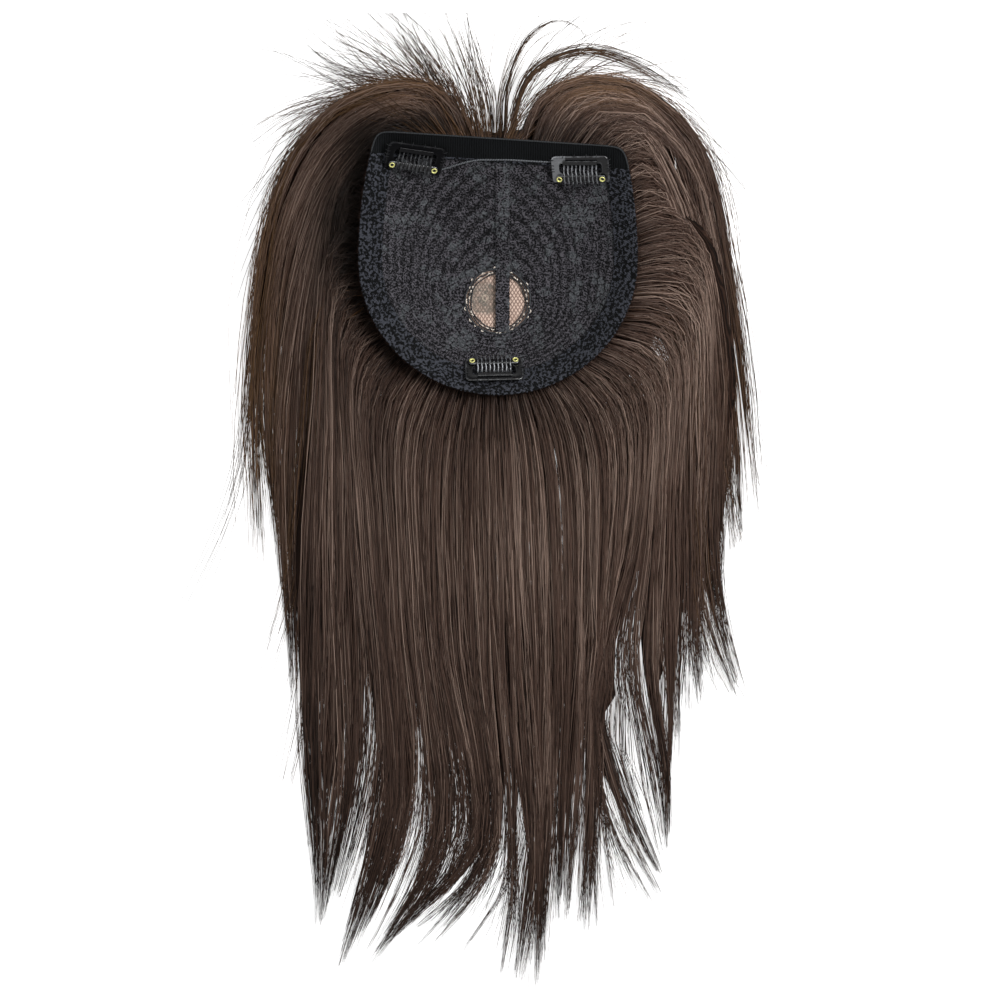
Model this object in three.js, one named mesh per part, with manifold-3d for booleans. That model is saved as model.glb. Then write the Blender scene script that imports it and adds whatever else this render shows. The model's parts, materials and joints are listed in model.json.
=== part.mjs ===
// Clip-in hair topper, lying on its hair with the inside of the cap facing up.
// Millimetres. X runs to the right, Y towards the front hairline and Z up.
// The origin is on the surface that the hair lies on, straight under the crown hole.

import * as THREE from 'three';
import { mergeVertices } from 'three/addons/utils/BufferGeometryUtils.js';
import Module from 'manifold-3d';

const wasm = await Module();
wasm.setup();

// Cap: its outline, seen from above
const CAP_HALF_WIDTH = 76.5;
const FRONT_REACH = 88.5;
const BACK_REACH = 52;
const WIDEST_AHEAD = 22;
const FRONT_OVAL = 144;
const FRONT_SKEW = 0.065;
const CORNER_SHARPNESS = 36;

// Cap: its dished shape and its layers
const CROWN_HEIGHT = 13;
const DISH_DEPTH = 24;
const DISH_POWER = 2.4;
const NET_THICK = 1.2;
const BAND_THICK = 1;
const CROWN_NET_THICK = 0.8;
const LAYER_GAP = 0.3;

// Bands, strip and crown hole
const EDGE_BAND_WIDTH = 13;
const FRONT_BAND_WIDTH = 12.5;
const STRIP_WIDTH = 8;
const STRIP_OFFSET = 2.5;
const STRIP_BACK = 17;
const CROWN_HOLE_RADIUS = 18;
const CROWN_NET_LAP = 2.5;

// Weft that winds round under the net
const WEFT_TURNS = 7;
const WEFT_WIDTH = 2.2;
const WEFT_THICK = 1.2;
const WEFT_GAP = 0.6;

// Hair
const HAIR_SPREAD = 275;
const HAIR_FALL = 385;
const HAIR_ROOT_HEIGHT = 33;
const HAIR_TIP_HEIGHT = 1.4;
const HAIR_HEIGHT_POWER = 1.7;
const HAIR_ROOT_DEPTH = 0.3;
const HAIR_BED_INSET = 2;
const HAIR_SKIRT_REACH = 10;
const HAIR_SKIRT_HEIGHT = 15;
const HAIR_CAP_GAP = 0.5;
const LOCK_WIDTH = 25;
const LOCK_TIP_WIDTH = 1.2;
const LOCK_HEM = 0.55;
const LOCK_TAPER_POWER = 0.8;
const LOCK_SHOULDER = 0.9;
const LOCK_SHOULDER_HEIGHT = 0.55;

// Snap clips: the steel frame, the grip bar, the comb and the eyelets
const CLIP_LENGTH = 32.2;
const CLIP_BACK_REACH = 13.6;
const CLIP_LEG_REACH = 2.6;
const CLIP_BAND_WIDTH = 4.9;
const CLIP_LEG_WIDTH = 4.5;
const CLIP_CORNER = 3;
const CLIP_FRAME_THICK = 0.7;
const CLIP_PART_GAP = 0.3;
const CLIP_SEAT_GAP = 0.35;
const RIVET_PITCH = 23.8;
const RIVET_EAR = 2.1;
const BAR_WIDTH = 4.2;
const BAR_THICK = 0.9;
const BAR_END = 1.9;
const COMB_TEETH = 9;
const COMB_PITCH = 2.24;
const TOOTH_WIDTH = 0.9;
const COMB_THICK = 0.5;
const COMB_ROOT_BACK = 10.5;
const COMB_ROOT_FRONT = 6.5;
const COMB_TIP_REACH = 5;
const COMB_TIP_DIP = 0.9;
const SEW_HOLE_RADIUS = 0.7;
const SEW_HOLE_INSET = 2.1;
const SEW_HOLE_ROWS = [5.6, 10.9];
const EYELET_FLANGE_RADIUS = 1.65;
const EYELET_BARREL_RADIUS = 0.95;
const EYELET_BORE_RADIUS = 0.6;
const EYELET_FLANGE_THICK = 0.5;

// Where the clips are sewn: shares of the cap's half width and front or back reach, and the turn
const CLIP_SEATS = [
  { name: 'front_left', across: -0.616, along: 0.854, reach: FRONT_REACH, turn: -7.4 },
  { name: 'front_right', across: 0.603, along: 0.78, reach: FRONT_REACH, turn: 0 },
  { name: 'back', across: -0.031, along: -0.69, reach: BACK_REACH, turn: 181.5 },
];

// Mesh fineness
const SPOKE_CROWDING = 0.6;
const FRONT_SPOKES = 7;
const ROUND_SPOKES = 23;
const DISH_RINGS = 8;
const HOLE_SIDES = 20;
const SMALL_HOLE_SIDES = 8;
const EYELET_SIDES = 10;
const SEAT_STATIONS = 17;
const SKY = 90;
const LOCK_CROWDING = 1.3;
const BACK_LOCK_STEPS = 7;
const FRONT_LOCK_STEPS = 8;
const STRAY_LOCK_STEPS = 5;

// Locks of hair. Columns: the root's place round the cap in degrees, the points that the lock
// passes, as shares of the hair's spread across and of its fall along, and its share of the
// full lock width. The last point of a path is the lock's tip.
const BACK_LOCKS = [
  { root: 146, path: [[-0.29, 0.17], [-0.33, 0.00], [-0.35, -0.25], [-0.35, -0.55]], width: 0.8 },
  { root: 160, path: [[-0.30, 0.11], [-0.33, -0.05], [-0.35, -0.30], [-0.34, -0.60]], width: 0.8 },
  { root: 172, path: [[-0.32, 0.10], [-0.37, -0.17], [-0.39, -0.50], [-0.36, -0.876]], width: 0.62 },
  { root: 178, path: [[-0.31, 0.04], [-0.34, -0.21], [-0.34, -0.63], [-0.36, -0.91]], width: 0.85 },
  { root: 188, path: [[-0.29, -0.03], [-0.30, -0.28], [-0.29, -0.66], [-0.35, -0.90]], width: 0.9 },
  { root: 202, path: [[-0.26, -0.10], [-0.26, -0.34], [-0.22, -0.71], [-0.32, -0.96]], width: 1 },
  { root: 216, path: [[-0.21, -0.15], [-0.21, -0.40], [-0.19, -0.74], [-0.29, -0.94]], width: 0.95 },
  { root: 231, path: [[-0.16, -0.18], [-0.16, -0.43], [-0.12, -0.78], [-0.26, -0.96]], width: 0.9 },
  { root: 245, path: [[-0.10, -0.20], [-0.10, -0.48], [-0.04, -0.78], [-0.25, -0.93]], width: 1 },
  { root: 258, path: [[-0.04, -0.21], [-0.03, -0.51], [-0.01, -0.80], [-0.15, -0.93]], width: 1 },
  { root: 272, path: [[0.02, -0.21], [0.04, -0.54], [0.06, -0.81], [0.03, -0.986]], width: 0.95 },
  { root: 285, path: [[0.08, -0.21], [0.10, -0.54], [0.09, -0.81], [0.08, -0.98]], width: 0.95 },
  { root: 298, path: [[0.14, -0.19], [0.16, -0.48], [0.14, -0.74], [0.13, -0.90]], width: 0.95 },
  { root: 310, path: [[0.20, -0.17], [0.21, -0.43], [0.18, -0.76], [0.17, -0.944]], width: 0.9 },
  { root: 322, path: [[0.26, -0.14], [0.26, -0.37], [0.23, -0.63], [0.36, -0.87]], width: 0.95 },
  { root: 335, path: [[0.31, -0.10], [0.32, -0.34], [0.30, -0.61], [0.34, -0.82]], width: 0.95 },
  { root: 348, path: [[0.35, -0.04], [0.36, -0.28], [0.34, -0.57], [0.34, -0.82]], width: 0.9 },
  { root: 2, path: [[0.38, 0.00], [0.40, -0.21], [0.39, -0.43], [0.41, -0.58]], width: 0.85 },
  { root: 16, path: [[0.39, 0.06], [0.43, -0.14], [0.42, -0.40], [0.51, -0.60]], width: 0.75 },
  { root: 28, path: [[0.38, 0.11], [0.45, -0.07], [0.44, -0.27], [0.43, -0.48]], width: 0.75 },
  { root: 36, path: [[0.33, 0.15], [0.38, 0.01], [0.40, -0.18], [0.40, -0.40]], width: 0.9 },
];
const FRONT_LOCKS = [
  {
    root: 97,
    path: [[-0.13, 0.30], [-0.31, 0.28], [-0.43, 0.16], [-0.49, -0.11], [-0.48, -0.42]],
    width: 0.62,
  },
  {
    root: 103,
    path: [[-0.17, 0.28], [-0.31, 0.24], [-0.41, 0.12], [-0.46, -0.13], [-0.43, -0.37]],
    width: 0.8,
  },
  {
    root: 111,
    path: [[-0.20, 0.26], [-0.31, 0.20], [-0.38, 0.07], [-0.42, -0.17], [-0.41, -0.57]],
    width: 0.8,
  },
  {
    root: 123,
    path: [[-0.24, 0.23], [-0.32, 0.17], [-0.36, 0.02], [-0.38, -0.23], [-0.38, -0.66]],
    width: 0.85,
  },
  {
    root: 83,
    path: [[0.09, 0.31], [0.23, 0.33], [0.39, 0.25], [0.48, 0.02], [0.55, -0.33]],
    width: 0.6,
  },
  {
    root: 76,
    path: [[0.15, 0.29], [0.28, 0.29], [0.40, 0.17], [0.46, -0.07], [0.49, -0.37]],
    width: 0.8,
  },
  {
    root: 66,
    path: [[0.21, 0.27], [0.32, 0.24], [0.40, 0.12], [0.44, -0.11], [0.42, -0.43]],
    width: 0.8,
  },
  {
    root: 54,
    path: [[0.28, 0.24], [0.35, 0.17], [0.40, 0.04], [0.42, -0.14], [0.40, -0.37]],
    width: 0.85,
  },
];
const STRAY_LOCKS = [
  {
    root: 104,
    path: [[-0.20, 0.29], [-0.40, 0.22], [-0.47, 0.00], [-0.52, -0.27], [-0.62, -0.44]],
    width: 0.16,
  },
  {
    root: 86,
    path: [[0.06, 0.32], [0.17, 0.36], [0.28, 0.34], [0.35, 0.31], [0.40, 0.28]],
    width: 0.16,
  },
  {
    root: 92,
    path: [[-0.02, 0.29], [-0.04, 0.33], [-0.06, 0.37], [-0.08, 0.41]],
    width: 0.16,
  },
  {
    root: 98,
    path: [[-0.09, 0.30], [-0.14, 0.34], [-0.17, 0.37], [-0.19, 0.41]],
    width: 0.16,
  },
  {
    root: 86,
    path: [[0.01, 0.29], [0.03, 0.34], [0.06, 0.38], [0.11, 0.41]],
    width: 0.16,
  },
  {
    root: 106,
    path: [[-0.16, 0.30], [-0.26, 0.32], [-0.34, 0.34], [-0.40, 0.37]],
    width: 0.16,
  },
  {
    root: 110,
    path: [[-0.21, 0.30], [-0.32, 0.29], [-0.42, 0.27], [-0.51, 0.23]],
    width: 0.16,
  },
];

function material(color, roughness, metalness) {
  return new THREE.MeshStandardMaterial({ color, roughness, metalness });
}

const LACE = material(0x2b2d31, 0.85, 0);
const KNIT = material(0x23262b, 0.9, 0);
const RIBBON = material(0x17181b, 0.8, 0);
const PALE_NET = material(0xc9ad9c, 0.8, 0);
const WEFT = material(0x1c1a1a, 0.85, 0);
const HAIR = material(0x3d2e26, 0.5, 0);
const STEEL = material(0x0b0b0d, 0.25, 0.6);
const GRIP = material(0x101012, 0.4, 0);
const GOLD = material(0xcfc878, 0.3, 0.8);

// Solids: closing, joining and cutting

function signedVolume(rings) {
  // The fan of triangles from the origin gives six times the volume.
  let sum = 0;
  for (const [a, b, c] of rings) {
    sum += a.dot(new THREE.Vector3().crossVectors(b, c));
  }
  return sum / 6;
}

function geometryFromTriangles(triangles) {
  const outward = signedVolume(triangles) >= 0;
  const points = triangles.flatMap(([a, b, c]) => (outward ? [a, b, c] : [a, c, b]));
  return new THREE.BufferGeometry().setFromPoints(points);
}

// Skin through rings of points. A closed loft joins its last ring to its first, an open one is capped.
function loft(rings, closed) {
  const triangles = [];
  const sides = rings[0].length;
  const spans = closed ? rings.length : rings.length - 1;
  for (let k = 0; k < spans; k += 1) {
    const near = rings[k];
    const far = rings[(k + 1) % rings.length];
    for (let i = 0; i < sides; i += 1) {
      const next = (i + 1) % sides;
      triangles.push([near[i], near[next], far[next]]);
      triangles.push([near[i], far[next], far[i]]);
    }
  }
  if (!closed) {
    const first = rings[0];
    const last = rings[rings.length - 1];
    for (let i = 1; i < sides - 1; i += 1) {
      triangles.push([first[0], first[i + 1], first[i]]);
      triangles.push([last[0], last[i], last[i + 1]]);
    }
  }
  return geometryFromTriangles(triangles);
}

function toSolid(geometry) {
  const bare = geometry.clone();
  bare.deleteAttribute('normal');
  bare.deleteAttribute('uv');
  const welded = mergeVertices(bare, 1e-4);
  return new wasm.Manifold(new wasm.Mesh({
    numProp: 3,
    vertProperties: new Float32Array(welded.getAttribute('position').array),
    triVerts: new Uint32Array(welded.index.array),
  }));
}

function toGeometry(solid) {
  const { vertProperties, triVerts } = solid.getMesh();
  const geometry = new THREE.BufferGeometry();
  geometry.setAttribute('position', new THREE.BufferAttribute(vertProperties, 3));
  geometry.setIndex(new THREE.BufferAttribute(triVerts, 1));
  geometry.computeVertexNormals();
  return geometry;
}

function joined(solids) {
  return solids.reduce((sum, solid) => sum.add(solid));
}

function mesh(name, solidOrGeometry, finish) {
  const isGeometry = solidOrGeometry.isBufferGeometry;
  const geometry = isGeometry ? solidOrGeometry : toGeometry(solidOrGeometry);
  const piece = new THREE.Mesh(geometry, finish);
  piece.name = name;
  return piece;
}

// Upright prism over a closed outline of plane points
function prism(points, low, high) {
  const depth = high - low;
  const shape = new THREE.Shape(points);
  const geometry = new THREE.ExtrudeGeometry(shape, { depth, bevelEnabled: false });
  return toSolid(geometry.translate(0, 0, low));
}

function rectangle(left, right, back, front) {
  return [
    new THREE.Vector2(left, back),
    new THREE.Vector2(right, back),
    new THREE.Vector2(right, front),
    new THREE.Vector2(left, front),
  ];
}

function circle(x, y, radius, sides) {
  return Array.from({ length: sides }, (_, i) => {
    const angle = (2 * Math.PI * i) / sides;
    return new THREE.Vector2(x + radius * Math.cos(angle), y + radius * Math.sin(angle));
  });
}

// Cap outline: a straight front edge meeting an oval, as a radius round the crown

function frontRadius(angle, inset) {
  const facing = Math.sin(angle) + FRONT_SKEW * Math.cos(angle);
  return facing > 0.01 ? (FRONT_REACH - inset) / facing : Infinity;
}

function ovalRadius(angle, inset) {
  const across = Math.cos(angle) / (CAP_HALF_WIDTH - inset);
  const radiusFor = (reach) => {
    const along = Math.sin(angle) / reach;
    const shift = WIDEST_AHEAD / reach;
    const a = across * across + along * along;
    const b = along * shift;
    return (b + Math.sqrt(b * b + a * (1 - shift * shift))) / a;
  };
  const ahead = radiusFor(FRONT_OVAL - inset);
  const isAhead = ahead * Math.sin(angle) > WIDEST_AHEAD;
  return isAhead ? ahead : radiusFor(BACK_REACH + WIDEST_AHEAD - inset);
}

function rimRadius(angle, inset = 0) {
  const front = frontRadius(angle, inset) ** -CORNER_SHARPNESS;
  const oval = ovalRadius(angle, inset) ** -CORNER_SHARPNESS;
  return (front + oval) ** (-1 / CORNER_SHARPNESS);
}

// The angle at which the front edge meets the oval, between two angles that hold it
function cornerAngle(low, high) {
  let [near, far] = [low, high];
  const beyond = (angle) => frontRadius(angle, 0) > ovalRadius(angle, 0);
  for (let i = 0; i < 40; i += 1) {
    const middle = (near + far) / 2;
    if (beyond(middle) === beyond(near)) {
      near = middle;
    } else {
      far = middle;
    }
  }
  return near;
}

const RIGHT_CORNER = cornerAngle(0.3, Math.PI / 2);
const LEFT_CORNER = cornerAngle(Math.PI / 2, Math.PI - 0.3);

// Spokes from the crown to the rim, closer together near the two front corners
function spokeAngles() {
  const crowd = (t) => t - (SPOKE_CROWDING * Math.sin(2 * Math.PI * t)) / (2 * Math.PI);
  const span = (from, to, count) => Array.from({ length: count }, (_, i) => (
    from + (to - from) * crowd(i / count)
  ));
  return [
    ...span(RIGHT_CORNER, LEFT_CORNER, FRONT_SPOKES),
    ...span(LEFT_CORNER, RIGHT_CORNER + 2 * Math.PI, ROUND_SPOKES),
  ];
}

const SPOKES = spokeAngles();

function outline(inset) {
  return SPOKES.map((angle) => {
    const radius = rimRadius(angle, inset);
    return new THREE.Vector2(radius * Math.cos(angle), radius * Math.sin(angle));
  });
}

const RIM = outline(0);

// Height of the net's upper face, at a share of the way from the crown to the rim
function dishHeight(share) {
  return CROWN_HEIGHT + DISH_DEPTH * share ** DISH_POWER;
}

// Radius of the rim's straight facet between the two spokes that hold an angle
function facetRadius(angle) {
  const turn = 2 * Math.PI;
  const lapped = SPOKES[0] + ((((angle - SPOKES[0]) % turn) + turn) % turn);
  const index = SPOKES.findLastIndex((spoke) => spoke <= lapped);
  const start = RIM[index];
  const along = RIM[(index + 1) % RIM.length].clone().sub(start);
  const ray = new THREE.Vector2(Math.cos(angle), Math.sin(angle));
  return start.cross(along) / ray.cross(along);
}

// Height of the net's flat facets at a place in the plane
function dishHeightAt(x, y) {
  const rings = (DISH_RINGS * Math.hypot(x, y)) / facetRadius(Math.atan2(y, x));
  const inner = Math.max(1, Math.floor(rings));
  const [low, high] = [dishHeight(inner / DISH_RINGS), dishHeight((inner + 1) / DISH_RINGS)];
  return low + (high - low) * Math.max(0, rings - inner);
}

function dishRing(share, lift) {
  return SPOKES.map((angle) => {
    const radius = share * rimRadius(angle);
    const height = dishHeight(share) + lift;
    return new THREE.Vector3(radius * Math.cos(angle), radius * Math.sin(angle), height);
  });
}

const RING_SHARES = Array.from({ length: DISH_RINGS }, (_, i) => (i + 1) / DISH_RINGS);

// One layer of cloth over the whole dish, with its lower face at the given lift
function dishLayer(lift, thick) {
  const upper = RING_SHARES.map((share) => dishRing(share, lift + thick));
  const lower = RING_SHARES.map((share) => dishRing(share, lift)).reverse();
  return toSolid(loft([...upper, ...lower], false));
}

// Everything above the underside of the cap, a little wider than the cap
function spaceOverCap(lift) {
  const under = RING_SHARES.map((share) => dishRing(share, lift));
  const rim = outline(-HAIR_CAP_GAP);
  const brink = rim.map((point, i) => new THREE.Vector3(point.x, point.y, under.at(-1)[i].z));
  const top = rim.map((point) => new THREE.Vector3(point.x, point.y, SKY));
  return toSolid(loft([...under, brink, top], false));
}

// The front strip of the plane, as deep as stated behind the front edge
function frontStrip(depth) {
  const reach = FRONT_REACH * 2;
  const line = (x) => FRONT_REACH - FRONT_SKEW * x - depth;
  return prism([
    new THREE.Vector2(-reach, line(-reach)),
    new THREE.Vector2(reach, line(reach)),
    new THREE.Vector2(reach, reach),
    new THREE.Vector2(-reach, reach),
  ], 0, SKY);
}

// Cap pieces, from the net outwards

const NET_LIFT = -NET_THICK;
const BAND_LIFT = LAYER_GAP;
const UNDER_NET = NET_LIFT - LAYER_GAP;

function capNet() {
  const hole = prism(circle(0, 0, CROWN_HOLE_RADIUS, HOLE_SIDES), 0, SKY);
  return dishLayer(NET_LIFT, NET_THICK).subtract(hole);
}

// The edge band runs round the sides and the back, and stops short of the front band.
function edgeBand() {
  const middle = prism(outline(EDGE_BAND_WIDTH), 0, SKY);
  const ahead = Math.max(FRONT_BAND_WIDTH, EDGE_BAND_WIDTH) + LAYER_GAP;
  return dishLayer(BAND_LIFT, BAND_THICK).subtract(middle).subtract(frontStrip(ahead));
}

function frontBand() {
  return dishLayer(BAND_LIFT, BAND_THICK).intersect(frontStrip(FRONT_BAND_WIDTH));
}

function centreStrip() {
  const left = STRIP_OFFSET - STRIP_WIDTH / 2;
  const strip = prism(rectangle(left, left + STRIP_WIDTH, -STRIP_BACK, FRONT_REACH), 0, SKY);
  return dishLayer(BAND_LIFT, BAND_THICK)
    .intersect(strip)
    .subtract(frontStrip(FRONT_BAND_WIDTH + LAYER_GAP));
}

function crownNet() {
  const patch = circle(0, 0, CROWN_HOLE_RADIUS + CROWN_NET_LAP, HOLE_SIDES);
  return dishLayer(UNDER_NET - CROWN_NET_THICK, CROWN_NET_THICK).intersect(prism(patch, 0, SKY));
}

// The weft starts beside the crown net and ends inside the edge band. It bends at the spokes only,
// as the net does, so that it lies flat under each facet.
function weftSpiral() {
  const start = CROWN_HOLE_RADIUS + CROWN_NET_LAP + WEFT_GAP + WEFT_WIDTH / 2;
  const steps = WEFT_TURNS * SPOKES.length;
  const top = NET_LIFT - WEFT_GAP;
  const rings = Array.from({ length: steps + 1 }, (_, k) => {
    const angle = SPOKES[k % SPOKES.length];
    const end = rimRadius(angle, EDGE_BAND_WIDTH) - WEFT_WIDTH / 2;
    const radius = start + ((end - start) * k) / steps;
    const corner = (out, lift) => {
      const r = radius + out;
      const [x, y] = [r * Math.cos(angle), r * Math.sin(angle)];
      return new THREE.Vector3(x, y, dishHeightAt(x, y) + lift);
    };
    const half = WEFT_WIDTH / 2;
    return [
      corner(-half, top),
      corner(half, top),
      corner(half, top - WEFT_THICK),
      corner(-half, top - WEFT_THICK),
    ];
  });
  return loft(rings, false);
}

// Hair: a bed under the cap with locks fused to it

function lockCurve(lock) {
  const angle = THREE.MathUtils.degToRad(lock.root);
  const radius = rimRadius(angle) * (1 - HAIR_ROOT_DEPTH);
  const root = new THREE.Vector3(radius * Math.cos(angle), radius * Math.sin(angle), 0);
  const passed = lock.path.map(([across, along]) => (
    new THREE.Vector3(across * HAIR_SPREAD, along * HAIR_FALL, 0)
  ));
  return new THREE.CatmullRomCurve3([root, ...passed], false, 'centripetal');
}

function lockHeight(share) {
  return HAIR_TIP_HEIGHT + (HAIR_ROOT_HEIGHT - HAIR_TIP_HEIGHT) * (1 - share) ** HAIR_HEIGHT_POWER;
}

// Full width as far as the hem, then drawn out to a point
function lockHalfWidth(lock, share) {
  const taper = share < LOCK_HEM ? 1 : ((1 - share) / (1 - LOCK_HEM)) ** LOCK_TAPER_POWER;
  return Math.max(lock.width * LOCK_WIDTH * taper, LOCK_TIP_WIDTH) / 2;
}

// A lock lies on the surface, flat below, and its sides slope in to a ridge.
function hairLock(lock, steps) {
  const curve = lockCurve(lock);
  const rings = Array.from({ length: steps + 1 }, (_, k) => {
    const share = (k / steps) ** LOCK_CROWDING;
    const centre = curve.getPointAt(share);
    const along = curve.getTangentAt(share);
    const side = new THREE.Vector3(-along.y, along.x, 0).multiplyScalar(lockHalfWidth(lock, share));
    const height = lockHeight(share);
    const place = (out, up) => centre.clone().addScaledVector(side, out).setZ(up * height);
    return [
      place(-1, 0),
      place(1, 0),
      place(LOCK_SHOULDER, LOCK_SHOULDER_HEIGHT),
      place(0, 1),
      place(-LOCK_SHOULDER, LOCK_SHOULDER_HEIGHT),
    ];
  });
  return toSolid(loft(rings, false));
}

function hair() {
  const underWeft = NET_LIFT - WEFT_GAP - WEFT_THICK - HAIR_CAP_GAP;
  const bed = prism(outline(HAIR_BED_INSET), 0, CROWN_HEIGHT + DISH_DEPTH);
  const skirt = prism(outline(-HAIR_SKIRT_REACH), 0, HAIR_SKIRT_HEIGHT);
  const locks = [
    ...BACK_LOCKS.map((lock) => hairLock(lock, BACK_LOCK_STEPS)),
    ...FRONT_LOCKS.map((lock) => hairLock(lock, FRONT_LOCK_STEPS)),
    ...STRAY_LOCKS.map((lock) => hairLock(lock, STRAY_LOCK_STEPS)),
  ];
  return joined([bed, skirt, ...locks]).subtract(spaceOverCap(underWeft));
}

// Snap clip. In its own frame X runs along the clip, Y towards its band and Z away from the cap,
// with the origin half way between the rivets on the underside.

const FRAME_TOP = CLIP_FRAME_THICK;
const BAR_LOW = FRAME_TOP + CLIP_PART_GAP;
const BAR_TOP = BAR_LOW + BAR_THICK;
const COMB_LOW = FRAME_TOP + CLIP_PART_GAP;
const COMB_HUMP_LOW = BAR_TOP + CLIP_PART_GAP;
const HINGE_HEIGHT = COMB_LOW + COMB_THICK / 2;
const COMB_HALF = ((COMB_TEETH - 1) * COMB_PITCH + TOOTH_WIDTH) / 2;

function hole(x, y, radius) {
  return new THREE.Path(circle(x, y, radius, SMALL_HOLE_SIDES));
}

function rivetHoles() {
  const radius = EYELET_BARREL_RADIUS + CLIP_PART_GAP;
  return [-1, 1].map((side) => hole((side * RIVET_PITCH) / 2, 0, radius));
}

function clipFrame() {
  const half = CLIP_LENGTH / 2;
  const leg = half - CLIP_LEG_WIDTH;
  const ear = RIVET_PITCH / 2 - RIVET_EAR;
  const bandFront = CLIP_BACK_REACH - CLIP_BAND_WIDTH;
  const shape = new THREE.Shape();
  shape.moveTo(-half, -CLIP_LEG_REACH);
  shape.lineTo(-ear, -CLIP_LEG_REACH);
  shape.lineTo(-ear, CLIP_LEG_REACH);
  shape.lineTo(-leg, CLIP_LEG_REACH + RIVET_EAR / 2);
  shape.lineTo(-leg, bandFront);
  shape.lineTo(leg, bandFront);
  shape.lineTo(leg, CLIP_LEG_REACH + RIVET_EAR / 2);
  shape.lineTo(ear, CLIP_LEG_REACH);
  shape.lineTo(ear, -CLIP_LEG_REACH);
  shape.lineTo(half, -CLIP_LEG_REACH);
  shape.lineTo(half, CLIP_BACK_REACH - CLIP_CORNER);
  shape.quadraticCurveTo(half, CLIP_BACK_REACH, half - CLIP_CORNER, CLIP_BACK_REACH);
  shape.lineTo(CLIP_CORNER - half, CLIP_BACK_REACH);
  shape.quadraticCurveTo(-half, CLIP_BACK_REACH, -half, CLIP_BACK_REACH - CLIP_CORNER);
  const sewX = half - SEW_HOLE_INSET;
  const sewHoles = SEW_HOLE_ROWS.flatMap((y) => (
    [hole(-sewX, y, SEW_HOLE_RADIUS), hole(sewX, y, SEW_HOLE_RADIUS)]
  ));
  shape.holes = [...rivetHoles(), ...sewHoles];
  return new THREE.ExtrudeGeometry(shape, {
    depth: CLIP_FRAME_THICK,
    bevelEnabled: false,
    curveSegments: 3,
  });
}

function gripBar() {
  const end = RIVET_PITCH / 2 + BAR_END;
  const shape = new THREE.Shape(rectangle(-end, end, -BAR_WIDTH / 2, BAR_WIDTH / 2));
  shape.holes = rivetHoles();
  const geometry = new THREE.ExtrudeGeometry(shape, { depth: BAR_THICK, bevelEnabled: false });
  return geometry.translate(0, 0, BAR_LOW);
}

// Side view of a tooth: from the root it climbs over the bar, then its tip dips.
function toothProfile() {
  const clear = BAR_WIDTH / 2 + COMB_THICK;
  const lower = [
    [COMB_ROOT_FRONT + COMB_THICK, COMB_LOW],
    [COMB_ROOT_FRONT, COMB_LOW],
    [clear, COMB_HUMP_LOW],
    [-clear, COMB_HUMP_LOW],
    [-COMB_TIP_REACH, COMB_HUMP_LOW - COMB_TIP_DIP],
  ];
  const upper = lower.map(([y, z]) => [y, z + COMB_THICK]).reverse();
  return [...lower, ...upper].map(([y, z]) => new THREE.Vector2(y, z));
}

function comb() {
  const shape = new THREE.Shape(toothProfile());
  const tooth = new THREE.ExtrudeGeometry(shape, { depth: TOOTH_WIDTH, bevelEnabled: false });
  // The profile is drawn in X and Y and extruded along Z, and turns to stand in Y and Z.
  tooth.applyMatrix4(new THREE.Matrix4().set(0, 0, 1, 0, 1, 0, 0, 0, 0, 1, 0, 0, 0, 0, 0, 1));
  const teeth = Array.from({ length: COMB_TEETH }, (_, i) => (
    toSolid(tooth.clone().translate(i * COMB_PITCH - COMB_HALF, 0, 0))
  ));
  const back = rectangle(-COMB_HALF, COMB_HALF, COMB_ROOT_FRONT, COMB_ROOT_BACK);
  return joined([prism(back, COMB_LOW, COMB_LOW + COMB_THICK), ...teeth]);
}

function eyelet(x) {
  const flangeLow = BAR_TOP + CLIP_PART_GAP;
  const flangeTop = flangeLow + EYELET_FLANGE_THICK;
  const profile = [
    [EYELET_BORE_RADIUS, 0],
    [EYELET_BARREL_RADIUS, 0],
    [EYELET_BARREL_RADIUS, flangeLow],
    [EYELET_FLANGE_RADIUS, flangeLow],
    [EYELET_FLANGE_RADIUS, flangeTop],
    [EYELET_BORE_RADIUS, flangeTop],
    [EYELET_BORE_RADIUS, 0],
  ];
  const points = profile.map(([radius, height]) => new THREE.Vector2(radius, height));
  return new THREE.LatheGeometry(points, EYELET_SIDES).rotateX(Math.PI / 2).translate(x, 0, 0);
}

// Height of the cap's upper face, on a band or on the bare net
function capTopAt(x, y) {
  const angle = Math.atan2(y, x);
  const onBand = Math.hypot(x, y) > rimRadius(angle, EDGE_BAND_WIDTH);
  return dishHeightAt(x, y) + (onBand ? BAND_LIFT + BAND_THICK : 0);
}

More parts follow.
